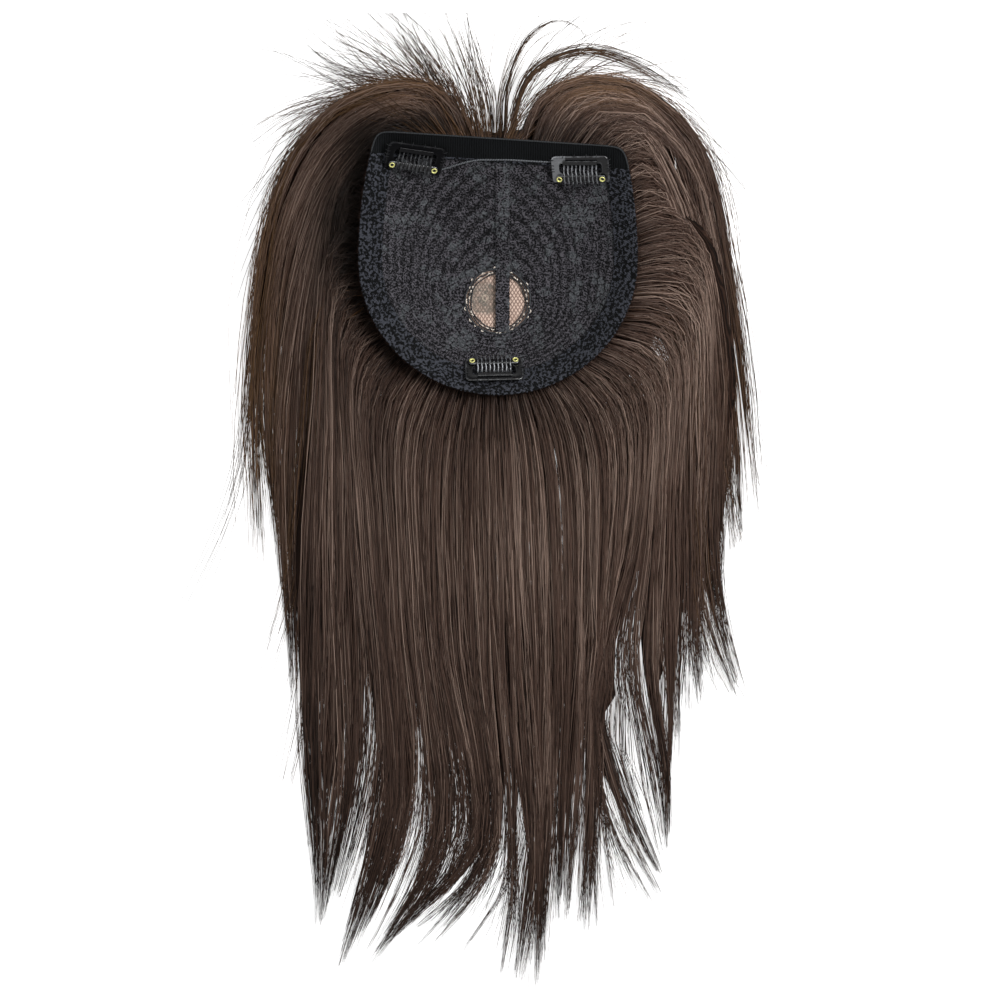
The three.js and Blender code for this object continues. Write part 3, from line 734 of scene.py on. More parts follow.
@dataclass
class Draft:
    """Points, faces and point values of a mesh in the making."""

    points: list[np.ndarray] = field(default_factory=list)
    faces: list[np.ndarray] = field(default_factory=list)
    values: list[dict[str, np.ndarray]] = field(default_factory=list)
    count: int = 0

    def add(self, points: np.ndarray, faces: list[np.ndarray], **values: Any) -> None:
        """Adds points and the faces between them.

        Args:
            points: One row to a point.
            faces: Arrays of corners, each with its own number of corners to a face.
            values: One number to a point, or one for all of them, by name.
        """
        points = np.asarray(points, float).reshape(-1, 3)
        self.points.append(points)
        self.faces += [np.asarray(part, int) + self.count for part in faces if len(part)]
        size = (len(points),)
        self.values.append({
            name: np.broadcast_to(np.asarray(value, float).reshape(-1), size)
            for name, value in values.items()
        })
        self.count += len(points)

    def slab(self, top: np.ndarray, low: np.ndarray, wrap: bool, **values: np.ndarray) -> None:
        """Adds a closed thin solid between two grids of points.

        Args:
            top: Rows and columns of points on the upper side.
            low: The same on the lower side.
            wrap: Whether the last column joins the first.
            values: A grid of numbers, by name, which both sides take.
        """
        rows, columns = top.shape[:2]
        index = np.arange(rows * columns).reshape(rows, columns)
        after = np.roll(index, -1, 1) if wrap else index[:, 1:]
        before = index if wrap else index[:, :-1]
        upper = [before[:-1], after[:-1], after[1:], before[1:]]
        faces = [np.stack(upper, -1).reshape(-1, 4)]
        under = rows * columns
        faces.append(faces[0][:, ::-1] + under)
        edges = [(before[0], after[0]), (after[-1], before[-1])]
        if not wrap:
            edges += [(index[1:, 0], index[:-1, 0]), (index[:-1, -1], index[1:, -1])]
        for near, far in edges:
            faces.append(np.stack([near, near + under, far + under, far], -1))
        both = {name: np.tile(np.asarray(v, float).reshape(-1), 2) for name, v in values.items()}
        self.add(np.concatenate([top.reshape(-1, 3), low.reshape(-1, 3)]), faces, **both)

    def hoops(self, rings: np.ndarray, turned: bool = False, closed: bool = False,
              **values: Any) -> None:
        """Adds a closed solid through rings of points.

        Args:
            rings: Rings, points and coordinates.
            turned: Whether the points run the other way round, seen from the first ring.
            closed: Whether the last ring joins the first, and no end is capped.
            values: Numbers for the points, by name.
        """
        index = np.arange(rings.shape[0] * rings.shape[1]).reshape(rings.shape[:2])
        ahead = np.roll(index, -1, 0)
        near, far = (index, ahead) if closed else (index[:-1], ahead[:-1])
        walls = [near, far, np.roll(far, -1, 1), np.roll(near, -1, 1)]
        caps = [] if closed else [index[:1], index[-1:, ::-1]]
        if turned:
            walls, caps = [near, *walls[:0:-1]], [cap[:, ::-1] for cap in caps]
        self.add(rings, [np.stack(walls, -1).reshape(-1, 4), *caps], **values)

    def sweep(self, paths: np.ndarray, across: Any, thick: Any, sides: int,
              **values: Any) -> None:
        """Adds closed tubes along paths.

        Args:
            paths: Tubes, stations and coordinates.
            across: Half width at each station, level with the floor.
            thick: Half height at each station.
            sides: Number of sides of a tube.
            values: Numbers for each tube's stations, by name.
        """
        tubes, stations = paths.shape[:2]
        ahead = unit(np.gradient(paths, axis=1))
        side = np.cross(ahead, np.array([0.0, 0.0, 1.0]))
        length = np.linalg.norm(side, axis=2, keepdims=True)
        side = np.where(length > 1e-6, side / np.maximum(length, 1e-6), [1.0, 0.0, 0.0])
        up = np.cross(side, ahead)
        turn = FULL_TURN * (np.arange(sides) + 0.25) / sides
        wide = np.broadcast_to(across, (tubes, stations))[..., None, None]
        tall = np.broadcast_to(thick, (tubes, stations))[..., None, None]
        ring = side[:, :, None, :] * np.cos(turn)[:, None] * wide
        ring = ring + up[:, :, None, :] * np.sin(turn)[:, None] * tall
        points = paths[:, :, None, :] + ring
        index = np.arange(tubes * stations * sides).reshape(tubes, stations, sides)
        following = np.roll(index, -1, 2)
        walls = [index[:, :-1], following[:, :-1], following[:, 1:], index[:, 1:]]
        quads = np.stack(walls, -1).reshape(-1, 4)
        caps = [index[:, 0, ::-1].reshape(-1, sides), index[:, -1].reshape(-1, sides)]
        spread = {
            name: np.repeat(np.broadcast_to(v, (tubes, stations)).reshape(-1), sides)
            for name, v in values.items()
        }
        spread["around"] = np.tile(np.arange(sides) / sides, tubes * stations)
        self.add(points, [quads, *caps], **spread)

    def piece(self, name: str, finish: bpy.types.Material,
              body: str = TOPPER_BODY) -> bpy.types.Object:
        """Ends the mesh and makes it a piece of the topper.

        Args:
            name: The piece's name.
            finish: Its material.
            body: The body that it rides on.

        Returns:
            The piece.
        """
        points = np.concatenate(self.points)
        corners = np.concatenate([part.reshape(-1) for part in self.faces])
        totals = np.concatenate([np.full(len(part), part.shape[1]) for part in self.faces])
        mesh = bpy.data.meshes.new(name)
        mesh.vertices.add(len(points))
        mesh.vertices.foreach_set("co", points.astype(np.float32).reshape(-1))
        mesh.loops.add(len(corners))
        mesh.loops.foreach_set("vertex_index", corners.astype(np.int32))
        mesh.polygons.add(len(totals))
        starts = np.concatenate([[0], np.cumsum(totals)[:-1]])
        mesh.polygons.foreach_set("loop_start", starts.astype(np.int32))
        mesh.polygons.foreach_set("loop_total", totals.astype(np.int32))
        mesh.update(calc_edges=True)
        mesh.validate()
        mesh.polygons.foreach_set("use_smooth", np.ones(len(mesh.polygons), bool))
        for label in sorted({name for part in self.values for name in part}):
            layer = mesh.attributes.new(label, "FLOAT", "POINT")
            parts = [
                part.get(label, np.zeros(len(spots)))
                for part, spots in zip(self.values, self.points)
            ]
            layer.data.foreach_set("value", np.concatenate(parts).astype(np.float32))
        mesh.materials.append(finish)
        made = bpy.data.objects.new(name, mesh)
        bpy.context.scene.collection.objects.link(made)
        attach(made, body)
        LOG.info("%s: %d points, %d triangles", name, len(points), (totals - 2).sum())
        return made


def ease(value: np.ndarray, low: float, high: float) -> np.ndarray:
    """Smooth rise from 0 at low to 1 at high."""
    share = np.clip((value - low) / (high - low), 0, 1)
    return share * share * (3 - 2 * share)


def bump(value: np.ndarray, middle: float, width: float) -> np.ndarray:
    """Smooth bump, 1 at its middle."""
    return np.exp(-(((value - middle) / width) ** 2))


def squared_off(value: np.ndarray, power: float) -> np.ndarray:
    """A sine's or cosine's values, moved towards 1 and -1."""
    return np.sign(value) * np.abs(value) ** power


def between(near: np.ndarray, far: np.ndarray, start: float, end: float,
            at: np.ndarray) -> np.ndarray:
    """Mix of two values, the near one at the start and the far one at the end."""
    return ((end - at) * near + (at - start) * far) / (end - start)


def waver(draw: np.random.Generator, slow: float, fast: float, share: np.ndarray) -> np.ndarray:
    """A sway of its own for every strand.

    Args:
        draw: The random numbers.
        slow: Fewest turns from root to tip.
        fast: Most turns.
        share: Places of the strands' stations.

    Returns:
        The sways, from -1 to 1.
    """
    count = len(share)
    pace = draw.uniform(slow, fast, count)[:, None]
    return np.sin(pace * share * SWAY_TURN + draw.uniform(0, SWAY_TURN, count)[:, None])


def unit(vectors: np.ndarray) -> np.ndarray:
    """The vectors at a length of 1."""
    return vectors / np.maximum(np.linalg.norm(vectors, axis=-1, keepdims=True), TINY)


def run_along(line: np.ndarray) -> np.ndarray:
    """Distance from a line's start at each of its points."""
    return np.concatenate([[0], np.cumsum(np.linalg.norm(np.diff(line, axis=0), axis=1))])


def part_way(line: np.ndarray, share: np.ndarray) -> np.ndarray:
    """Points on an evenly spaced plan line.

    Args:
        line: The line's points.
        share: 0 at its start, 1 at its end.

    Returns:
        The points.
    """
    steps = np.linspace(0, 1, len(line))
    return np.stack([np.interp(share, steps, line[:, k]) for k in range(2)], -1)


def rounded(share: np.ndarray, power: float) -> np.ndarray:
    """How full a band's section is, from nearly 0 at its edges to 1 at its middle."""
    return np.sin(math.pi * np.clip(share, 0.02, 0.98)) ** power


# The cap


@dataclass(frozen=True)
class CapShape:
    """Outline and dish of the cap, the same as the part's."""

    half_width: float = 76.5 * MM
    front_reach: float = 88.5 * MM
    back_reach: float = 52.0 * MM
    widest_ahead: float = 22.0 * MM
    front_oval: float = 144.0 * MM
    front_skew: float = 0.065
    corner_sharpness: float = 36.0
    crown_height: float = 13.0 * MM
    dish_depth: float = 24.0 * MM
    dish_power: float = 2.4

    def front_radius(self, angle: np.ndarray, inset: float = 0.0) -> np.ndarray:
        """Distance to the straight front.

        Args:
            angle: Direction from the crown's centre, in radians.
            inset: How far inside the front the line runs.

        Returns:
            The distance, very large where the direction never meets it.
        """
        facing = np.sin(angle) + self.front_skew * np.cos(angle)
        least, beyond = 0.01, 9.0
        reach = (self.front_reach - inset) / np.maximum(facing, least)
        return np.where(facing > least, reach, beyond)

    def oval_radius(self, angle: np.ndarray, inset: float = 0.0) -> np.ndarray:
        """Distance to the oval of the sides and back.

        Args:
            angle: Direction from the crown's centre, in radians.
            inset: How far inside the oval the line runs.

        Returns:
            The distance.
        """
        across = np.cos(angle) / (self.half_width - inset)

        def radius(reach: float) -> np.ndarray:
            """Distance to a half oval.

            Args:
                reach: Its reach to the front or the back.

            Returns:
                The distance.
            """
            along, shift = np.sin(angle) / reach, self.widest_ahead / reach
            both, mixed = across**2 + along**2, along * shift
            return (mixed + np.sqrt(mixed**2 + both * (1 - shift**2))) / both

        ahead = radius(self.front_oval - inset)
        behind = radius(self.back_reach + self.widest_ahead - inset)
        return np.where(ahead * np.sin(angle) > self.widest_ahead, ahead, behind)

    def rim(self, angle: np.ndarray, inset: float = 0.0) -> np.ndarray:
        """Distance to the cap's outline.

        Args:
            angle: Direction from the crown's centre, in radians.
            inset: How far inside the outline the line runs.

        Returns:
            The distance.
        """
        sharp = self.corner_sharpness
        front, oval = self.front_radius(angle, inset), self.oval_radius(angle, inset)
        return (front**-sharp + oval**-sharp) ** (-1 / sharp)

    def share(self, x: np.ndarray, y: np.ndarray) -> np.ndarray:
        """How far out places lie, from 0 at the crown's centre to 1 at the rim."""
        return np.hypot(x, y) / self.rim(np.arctan2(y, x))

    def height(self, x: np.ndarray, y: np.ndarray) -> np.ndarray:
        """Height of the net's upper face.

        Args:
            x: Place across.
            y: Place along.

        Returns:
            The height above the floor.
        """
        rise = np.minimum(self.share(x, y), 1.0) ** self.dish_power
        return self.crown_height + self.dish_depth * rise

    def lay(self, angle: np.ndarray, radius: np.ndarray, lift: Any) -> np.ndarray:
        """Points over the net.

        Args:
            angle: Directions.
            radius: Distances from the crown's centre.
            lift: Heights over the net.

        Returns:
            The points.
        """
        x, y = radius * np.cos(angle), radius * np.sin(angle)
        return np.stack([x, y, self.height(x, y) + lift], -1)


CAP = CapShape()
ROW_OVAL = CapShape(
    half_width=65.0 * MM, front_reach=1.0, back_reach=40.0 * MM, front_oval=92.0 * MM,
)


@dataclass(frozen=True)
class LaceNet:
    """The net over the wefts: one stretched sheet with low rows, sprigs and a corded hole."""

    hole: float = 18.0 * MM
    thick: float = 1.0 * MM
    rows: float = 11.0
    row_height: float = 0.16 * MM
    rim_inset: float = 0.4 * MM
    band_inset: float = 12.0 * MM
    sunk: float = 0.2 * MM
    sag: float = 0.35 * MM
    flat: tuple[float, float] = (0.172, 0.158)
    flat_share: float = 0.97
    rings: int = 58
    columns: int = 260

    def rows_at(self, angle: np.ndarray, radius: np.ndarray) -> np.ndarray:
        """Number of weft rows from the crown, which lie in ovals round it.

        Args:
            angle: Directions.
            radius: Distances from the crown's centre.

        Returns:
            The count, with its fraction.
        """
        sway = 0.3 * np.sin(3 * angle + 0.6) + 0.15 * np.sin(7 * angle)
        share = (radius - self.hole) / (ROW_OVAL.rim(angle) - self.hole)
        return share * self.rows + sway

    def build(self) -> bpy.types.Object:
        """Makes the net.

        Returns:
            The piece.
        """
        angle = np.linspace(0, FULL_TURN, self.columns, endpoint=False)[None, :]
        share = np.linspace(0, 1, self.rings)[:, None]
        radius = self.hole + (CAP.rim(angle, self.rim_inset) - self.hole) * share
        rows = self.rows_at(angle, radius)
        inner = ease(CAP.rim(angle, self.band_inset) - radius, 0, 4 * MM)
        ridge = (0.5 + 0.5 * np.sin(FULL_TURN * rows)) * inner * ease(share, 0.0, 0.04)
        sag = self.sag * np.sin(5 * angle + 9 * share) * np.sin(math.pi * share)
        turn = np.broadcast_to(angle, radius.shape)
        top = CAP.lay(turn, radius, ridge * self.row_height - self.sunk + sag * inner)
        draft = Draft()
        draft.slab(top, top - [0, 0, self.thick], True, row=rows, arc=turn * radius)
        net = draft.piece("lace_net", LaceFinish().material())
        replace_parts(net, "cap_net")
        return net


@dataclass(frozen=True)
class EdgeBand:
    """Knitted elastic round the sides and back, with a ribbed, notched outer edge."""

    width: float = 13.0 * MM
    thick: float = 1.15 * MM
    edge_thick: float = 0.35 * MM
    front_inset: float = 11.5 * MM
    notch: float = 2.6 * MM
    notch_depth: float = 0.55 * MM
    ripple: float = 0.14 * MM
    seam: float = 0.22 * MM
    length: float = 0.455
    columns: int = 640

    def build(self) -> bpy.types.Object:
        """Makes the band.

        Returns:
            The piece.
        """
        sweep = np.linspace(math.radians(-270), math.radians(90), 2001)
        limit = CAP.front_radius(sweep, self.front_inset) - CAP.rim(sweep, self.width)
        shown = sweep[limit > 0.4 * MM]
        angle = np.linspace(shown[0], shown[-1], self.columns)[None, :]
        share = np.array([0, 0.03, 0.09, 0.16, 0.25, 0.4, 0.55, 0.7, 0.82, 0.9, 0.96, 1])[:, None]
        inner = CAP.rim(angle, self.width)
        outer = np.minimum(CAP.rim(angle), CAP.front_radius(angle, self.front_inset))
        arc = run_along((outer * [np.cos(angle[0]), np.sin(angle[0])]).T)[None, :]
        tooth = 1 - np.abs(2 * ((arc / self.notch) % 1) - 1)
        at_rim = CAP.rim(angle) <= outer + TINY
        reach = inner + (outer - inner) * share
        reach = reach + (share > 0.85) * at_rim * (tooth - 0.5) * self.notch_depth
        turned_down = ease(share, 0.9, 1.0)
        lift = self.edge_thick + (self.thick - self.edge_thick) * rounded(share, 0.35)
        lift = lift - 0.5 * MM * turned_down
        stitched = np.sin(FULL_TURN * arc / self.notch + 7 * share) * ease(share, 0, 0.6)
        seam = bump(share, 0.16, 0.05)
        turn = np.broadcast_to(angle, reach.shape)
        top = CAP.lay(turn, reach, lift + self.ripple * stitched - self.seam * seam)
        low = CAP.lay(turn, reach, np.full(reach.shape, 0.12 * MM) - 0.9 * MM * turned_down)
        across = share * (outer - inner)
        draft = Draft()
        draft.slab(top, low, False, arc=np.broadcast_to(arc, reach.shape), across=across)
        band = draft.piece("edge_band_knit", KnitFinish().material())
        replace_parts(band, "edge_band")
        LOG.info("edge band: %.3f m along its rim", arc[0, -1])
        return band


@dataclass(frozen=True)
class FrontBand:
    """Ribbed ribbon along the front, corded on its front edge and piped on its back edge."""

    width: float = 12.5 * MM
    length: float = 152.0 * MM
    thick: float = 1.1 * MM
    edge_thick: float = 0.35 * MM
    low: float = 0.15 * MM
    overhang: float = 0.2 * MM
    wave: float = 0.12 * MM
    cord_radius: float = 0.42 * MM
    piping_radius: float = 0.5 * MM
    columns: int = 260

    def span(self) -> tuple[float, float]:
        """The directions of the band's two ends.

        Returns:
            The first and the last direction, in radians.
        """
        sweep = np.linspace(0, math.pi, 2001)
        shown = sweep[CAP.rim(sweep) - CAP.front_radius(sweep, self.width) > 0.6 * MM]
        return float(shown[0]), float(shown[-1])

    def build(self) -> list[bpy.types.Object]:
        """Makes the band, its cord and its piping.

        Returns:
            The three pieces.
        """
        angle = np.linspace(*self.span(), self.columns)[None, :]
        share = np.array([0, 0.04, 0.1, 0.3, 0.5, 0.7, 0.9, 0.96, 1])[:, None]
        inner = CAP.front_radius(angle, self.width)
        outer = CAP.rim(angle, -self.overhang)
        reach = inner + (outer - inner) * share
        full = rounded(share, 0.3)
        wave = self.wave * np.sin(angle * 31)
        turn = np.broadcast_to(angle, reach.shape)
        lift = self.edge_thick + (self.thick - self.edge_thick) * full + wave * full
        low = CAP.lay(turn, reach, np.full(reach.shape, self.low))
        draft = Draft()
        draft.slab(CAP.lay(turn, reach, lift), low, False)
        band = draft.piece("front_band_ribbon", RibbonFinish().material())
        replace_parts(band, "front_band")
        return [band, self.cord(angle[0]), self.piping()]

    def cord(self, angle: np.ndarray) -> bpy.types.Object:
        """Makes the dark cord on the front edge.

        Args:
            angle: Directions that it passes.

        Returns:
            The cord.
        """
        line = CAP.lay(angle, CAP.rim(angle, 0.35 * MM), 0.95 * MM)
        return trim_tube("front_cord", line, self.cord_radius, PIPING)

    def piping(self) -> bpy.types.Object:
        """Makes the piping between the two front clips, bowed towards the front.

        Returns:
            The piping.
        """
        x = np.linspace(-40.0 * MM, 30.0 * MM, 120)
        share = (x - x[0]) / (x[-1] - x[0])
        y = 70.6 * MM + 6.4 * MM * ease(share, 0.0, 0.45) - 1.2 * MM * ease(share, 0.6, 1.0)
        line = np.stack([x, y, CAP.height(x, y) + 1.05 * MM], -1)
        return trim_tube("front_piping", line, self.piping_radius, LIGHT_PIPING)


PIPING = TrimFinish("piping", shade(9, 10, 12), shade(42, 45, 48), pitch=0.9 * MM)
LIGHT_PIPING = TrimFinish("light_piping", shade(30, 32, 35), shade(104, 107, 111), pitch=0.9 * MM)
THREAD = TrimFinish("sewing_thread", shade(7, 7, 8), shade(40, 41, 44), pitch=0.35 * MM)
DARK_CORD = TrimFinish("crown_cord", shade(16, 17, 19), shade(62, 64, 68))
PALE_THREAD = TrimFinish("pale_thread", shade(150, 136, 122), shade(240, 232, 222))


def trim_tube(name: str, line: np.ndarray, radius: float, finish: TrimFinish) -> bpy.types.Object:
    """Makes one thin round trim along a line.

    Args:
        name: The piece's name.
        line: Its points.
        radius: Its half width.
        finish: Its finish.

    Returns:
        The piece.
    """
    draft = Draft()
    draft.sweep(line[None], radius, radius, 8, arc=run_along(line)[None, :])
    return draft.piece(name, finish.material())


@dataclass(frozen=True)
class CentreStrip:
    """Narrow lace strip from the front band over the crown, scalloped along both sides."""

    middle: float = 2.5 * MM
    width: float = 8.0 * MM
    back: float = -17.0 * MM
    front_inset: float = 13.2 * MM
    thick: float = 0.5 * MM
    scallop: float = 2.6 * MM
    ripple: float = 0.08 * MM
    row: float = -0.05
    rows: int = 160

    def build(self) -> bpy.types.Object:
        """Makes the strip.

        Returns:
            The piece.
        """
        front = (CAP.front_reach - self.front_inset) - CAP.front_skew * self.middle
        y = np.linspace(self.back, front, self.rows)[None, :]
        share = np.array([-1, -0.93, -0.75, -0.4, 0, 0.4, 0.75, 0.93, 1])[:, None]
        half = self.width / 2 * (0.9 + 0.1 * np.abs(np.sin(math.pi * y / self.scallop)))
        x = self.middle + share * half
        y = np.broadcast_to(y, x.shape)
        lift = (0.95 - 0.3 * share**8) * MM + self.ripple * np.sin(y * 1400)
        top = np.stack([x, y, CAP.height(x, y) + lift], -1)[::-1]
        row = np.full(x.shape, self.row)
        draft = Draft()
        draft.slab(top, top - [0, 0, self.thick], False, row=row, arc=y)
        strip = draft.piece("centre_strip_lace", LaceFinish().material())
        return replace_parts(strip, "centre_strip")


@dataclass(frozen=True)
class Crown:
    """Pale mesh under the crown's hole, with dark cords and looped stitches round it."""

    radius: float = 20.5 * MM
    sunk: float = 1.6 * MM
    thick: float = 0.7 * MM
    pucker: float = 0.12 * MM
    rings: int = 26
    columns: int = 72
    cord_rings: tuple[tuple[float, float, float], ...] = (
        (14.9, 0.3, -0.9), (16.3, 0.42, -0.35), (17.9, 0.55, 0.1),
    )
    stitch_rings: tuple[float, ...] = (15.6, 17.1, 18.4)
    stitch_odds: tuple[float, ...] = (0.45, 0.3, 0.25)
    loops: int = 46
    seed: int = 11

    def build(self) -> list[bpy.types.Object]:
        """Makes the mesh, the cords and the stitches.

        Returns:
            The three pieces.
        """
        angle = np.linspace(0, FULL_TURN, self.columns, endpoint=False)[None, :]
        share = np.linspace(0.02, 1, self.rings)[:, None]
        pucker = self.pucker * np.sin(9 * angle) * share
        top = CAP.lay(angle, self.radius * share + 0 * angle, pucker - self.sunk)
        draft = Draft()
        draft.slab(top, top - [0, 0, self.thick], True)
        mesh = draft.piece("crown_mesh", CrownFinish().material())
        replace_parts(mesh, "crown_net")
        return [mesh, self.cords(), self.stitches()]

    def cords(self) -> bpy.types.Object:
        """Makes the cords that bind the hole.

        Returns:
            The cords as one piece.
        """
        draft = Draft()
        turn = np.linspace(0, FULL_TURN, 121)
        for radius, thick, lift in self.cord_rings:
            reach = (radius + 0.22 * np.sin(7 * turn + radius)) * MM
            line = CAP.lay(turn, reach, lift * MM)
            draft.sweep(line[None], thick * MM, thick * MM, 8, arc=(turn * reach)[None, :])
        return draft.piece("crown_cords", DARK_CORD.material())

    def stitches(self) -> bpy.types.Object:
        """Makes the pale thread that shows between the cords.

        Returns:
            The stitches as one piece.
        """
        draw = np.random.default_rng(self.seed)
        draft = Draft()
        middle = np.linspace(0, FULL_TURN, self.loops, endpoint=False)
        middle = middle + draw.normal(0, 0.05, self.loops)
        for place in middle:
            reach = draw.choice(self.stitch_rings, p=self.stitch_odds) * MM
            half = draw.uniform(0.02, 0.055)
            turn = np.linspace(place - half, place + half, 9)
            arch = np.sin(np.linspace(0, math.pi, 9))
            line = CAP.lay(turn, reach + 0.5 * MM * arch, (0.1 + 0.35 * arch) * MM)
            draft.sweep(line[None], 0.3 * MM, 0.26 * MM, 6, arc=(turn * reach)[None, :])
        return draft.piece("crown_stitches", PALE_THREAD.material())


# Clips


class Seat(Enum):
    """The three clips, by their place on the cap."""

    FRONT_LEFT = "front_left"
    FRONT_RIGHT = "front_right"
    BACK = "back"


@dataclass
class SnapClip:
    """A snap clip: a bent frame, a ribbed grip bar, two eyelets and a comb on its hinge."""

    seat: Seat
    half_length: float = 16.1
    back_reach: float = 13.6
    leg_reach: float = 2.6
    leg_width: float = 4.5
    band_width: float = 4.9
    corner: float = 3.0
    rivet: float = 11.9
    ear: float = 9.8
    bar_low: float = 1.0
    bar_top: float = 1.9
    bar_half: float = 2.1
    bar_end: float = 13.8
    teeth: int = 9
    pitch: float = 2.24
    root_back: float = 10.5
    root_front: float = 8.2
    hinge_height: float = 1.25
    roll_radius: float = 0.38
    tooth_half: float = 0.42
    tooth_thick: float = 0.24
    rib_pitch: float = 1.12
    rib_reach: float = 10.2
    thread_radius: float = 0.17
    side_stitches: tuple[float, ...] = (3.9, 5.6, 7.6, 10.9)
    back_stitches: tuple[float, ...] = (-9.5, -3.2, 3.4, 9.2)

    def __post_init__(self) -> None:
        """Takes the clip's own axes from the record's hinge and mount."""
        name = self.seat.value
        joint = next(j for j in frame["joints"] if j["name"] == f"comb_{name}_hinge")
        mount = next(m for m in frame["record"]["mounts"] if m["name"] == f"clip_{name}_face")
        self.right = -np.array(joint["axis"])
        self.normal = np.array(mount["axis"])
        self.rear = np.cross(self.normal, self.right)
        back, up = self.root_back * MM, self.hinge_height * MM
        self.origin = np.array(joint["pos_m"]) - back * self.rear - up * self.normal

    def seated(self, points: np.ndarray) -> np.ndarray:
        """Moves points from the clip's own millimetres to their place on the cap.

        Args:
            points: Points across, to the rear and up from the clip's rivets.

        Returns:
            The points in metres.
        """
        axes = np.stack([self.right, self.rear, self.normal])
        return self.origin + np.asarray(points, float) * MM @ axes

    def part(self, draft: Draft, node: str, word: str, finish: bpy.types.Material, slot: Slot,
             body: str = TOPPER_BODY) -> bpy.types.Object:
        """Ends a mesh as the piece that stands for one node of the clip.

        Args:
            draft: The mesh in the making.
            node: The node's name without the clip's.
            word: What the piece's name adds to it.
            finish: Its material.
            slot: The record's slot; not used.
            body: The body that it rides on.

        Returns:
            The piece.
        """
        name = f"clip_{self.seat.value}_{node}"
        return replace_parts(draft.piece(f"{name}_{word}", finish, body), name)

    def frame_outline(self) -> tuple[np.ndarray, np.ndarray]:
        """The frame's outlines, point for point, from left leg to right leg.

        Returns:
            The outer and the inner outline.
        """
        half, back, leg = self.half_length, self.back_reach, self.leg_reach
        inner_x, band = half - self.leg_width, back - self.band_width
        bend = np.radians(np.linspace(180, 90, 9))
        outer = [(-half + 1.2, -leg), (-half + 0.35, -leg + 0.35), (-half, -leg + 1.2)]
        outer += [(-half, y) for y in (0.0, 2.6, 3.7, 5.5, 7.5)]
        outer += [
            (-half + self.corner * (1 + math.cos(t)), back - self.corner * (1 - math.sin(t)))
            for t in bend
        ]
        inner = [(-self.ear - 0.6, -leg), (-self.ear - 0.15, -leg + 0.35)]
        inner += [(-self.ear, -leg + 1.2), (-self.ear, 0.0), (-self.ear - 0.1, 2.3)]
        inner += [(-inner_x, 3.9), (-inner_x, 5.0), (-inner_x, 6.0)]
        small = 1.2
        inner += [
            (-inner_x + small * (1 + math.cos(t)), band - small * (1 - math.sin(t))) for t in bend
        ]
        whole = []
        for line, rear in ((outer, back), (inner, band)):
            last = line[-1][0]
            half_line = np.array(line + [(last * (1 - t), rear) for t in np.linspace(0.15, 1.0, 8)])
            whole.append(np.concatenate([half_line, half_line[-2::-1] * [-1.0, 1.0]]))
        return whole[0], whole[1]

    def build_frame(self, enamel: bpy.types.Material) -> bpy.types.Object:
        """Makes the bent frame with its rolled edges.

        Args:
            enamel: The lacquer.

        Returns:
            The frame.
        """
        outer, inner = self.frame_outline()
        share = np.array([0, 0.02, 0.06, 0.13, 0.22, 0.35, 0.65, 0.8, 0.9, 0.97, 1])
        rise = np.array([0.35, 0.62, 0.86, 0.92, 0.74, 0.64, 0.62, 0.68, 0.74, 0.6, 0.35])
        fall = np.array([0.35, 0.12, 0.03, 0, 0, 0, 0, 0, 0.03, 0.12, 0.35])
        flat = outer[None] + (inner - outer)[None] * share[:, None, None]
        top, low = (
            np.concatenate([flat, np.broadcast_to(z[:, None, None], (*flat.shape[:2], 1))], 2)
            for z in (rise, fall)
        )
        # Edge value: wear and a painted highlight along the rolled edges.
        edge = bump(share, 0.1, 0.07) + 0.5 * bump(share, 0.93, 0.05)
        draft = Draft()
        grid = np.broadcast_to(edge[:, None], flat.shape[:2])
        draft.slab(self.seated(top), self.seated(low), False, edge=grid)
        return self.part(draft, "frame", "bent", enamel, Slot.STEEL)

    def build_bar(self, grip: bpy.types.Material) -> bpy.types.Object:
        """Makes the ribbed grip bar.

        Args:
            grip: Its finish.

        Returns:
            The bar.
        """
        x = np.linspace(-self.bar_end, self.bar_end, 241)[None, :]
        share = np.array([-1, -0.96, -0.85, -0.6, 0, 0.6, 0.85, 0.96, 1])[:, None]
        ends = np.sqrt(np.clip(1 - ((np.abs(x) - self.bar_end + 1.6) / 1.6).clip(0) ** 2, 0.02, 1))
        y = share * self.bar_half * ends
        middle = (self.bar_low + self.bar_top) / 2
        round_off = (1 - np.abs(share) ** 6) ** 0.5
        rib = 0.1 * np.cos(FULL_TURN * x / self.rib_pitch) * (np.abs(x) < self.rib_reach)
        top_z = middle + (self.bar_top - middle) * round_off + rib * round_off
        low_z = middle - (middle - self.bar_low) * round_off
        x = np.broadcast_to(x, y.shape)
        top = np.stack([x, y, np.broadcast_to(top_z, y.shape)], -1)
        low = np.stack([x, y, np.broadcast_to(low_z, y.shape)], -1)
        # Painted sheen: the edge value lightens the bar along its long edges.
        edge = np.broadcast_to(bump(np.abs(share), 0.9, 0.08), y.shape)
        draft = Draft()
        draft.slab(self.seated(top)[::-1], self.seated(low)[::-1], False, edge=edge[::-1])
        return self.part(draft, "bar", "ribbed", grip, Slot.GRIP)

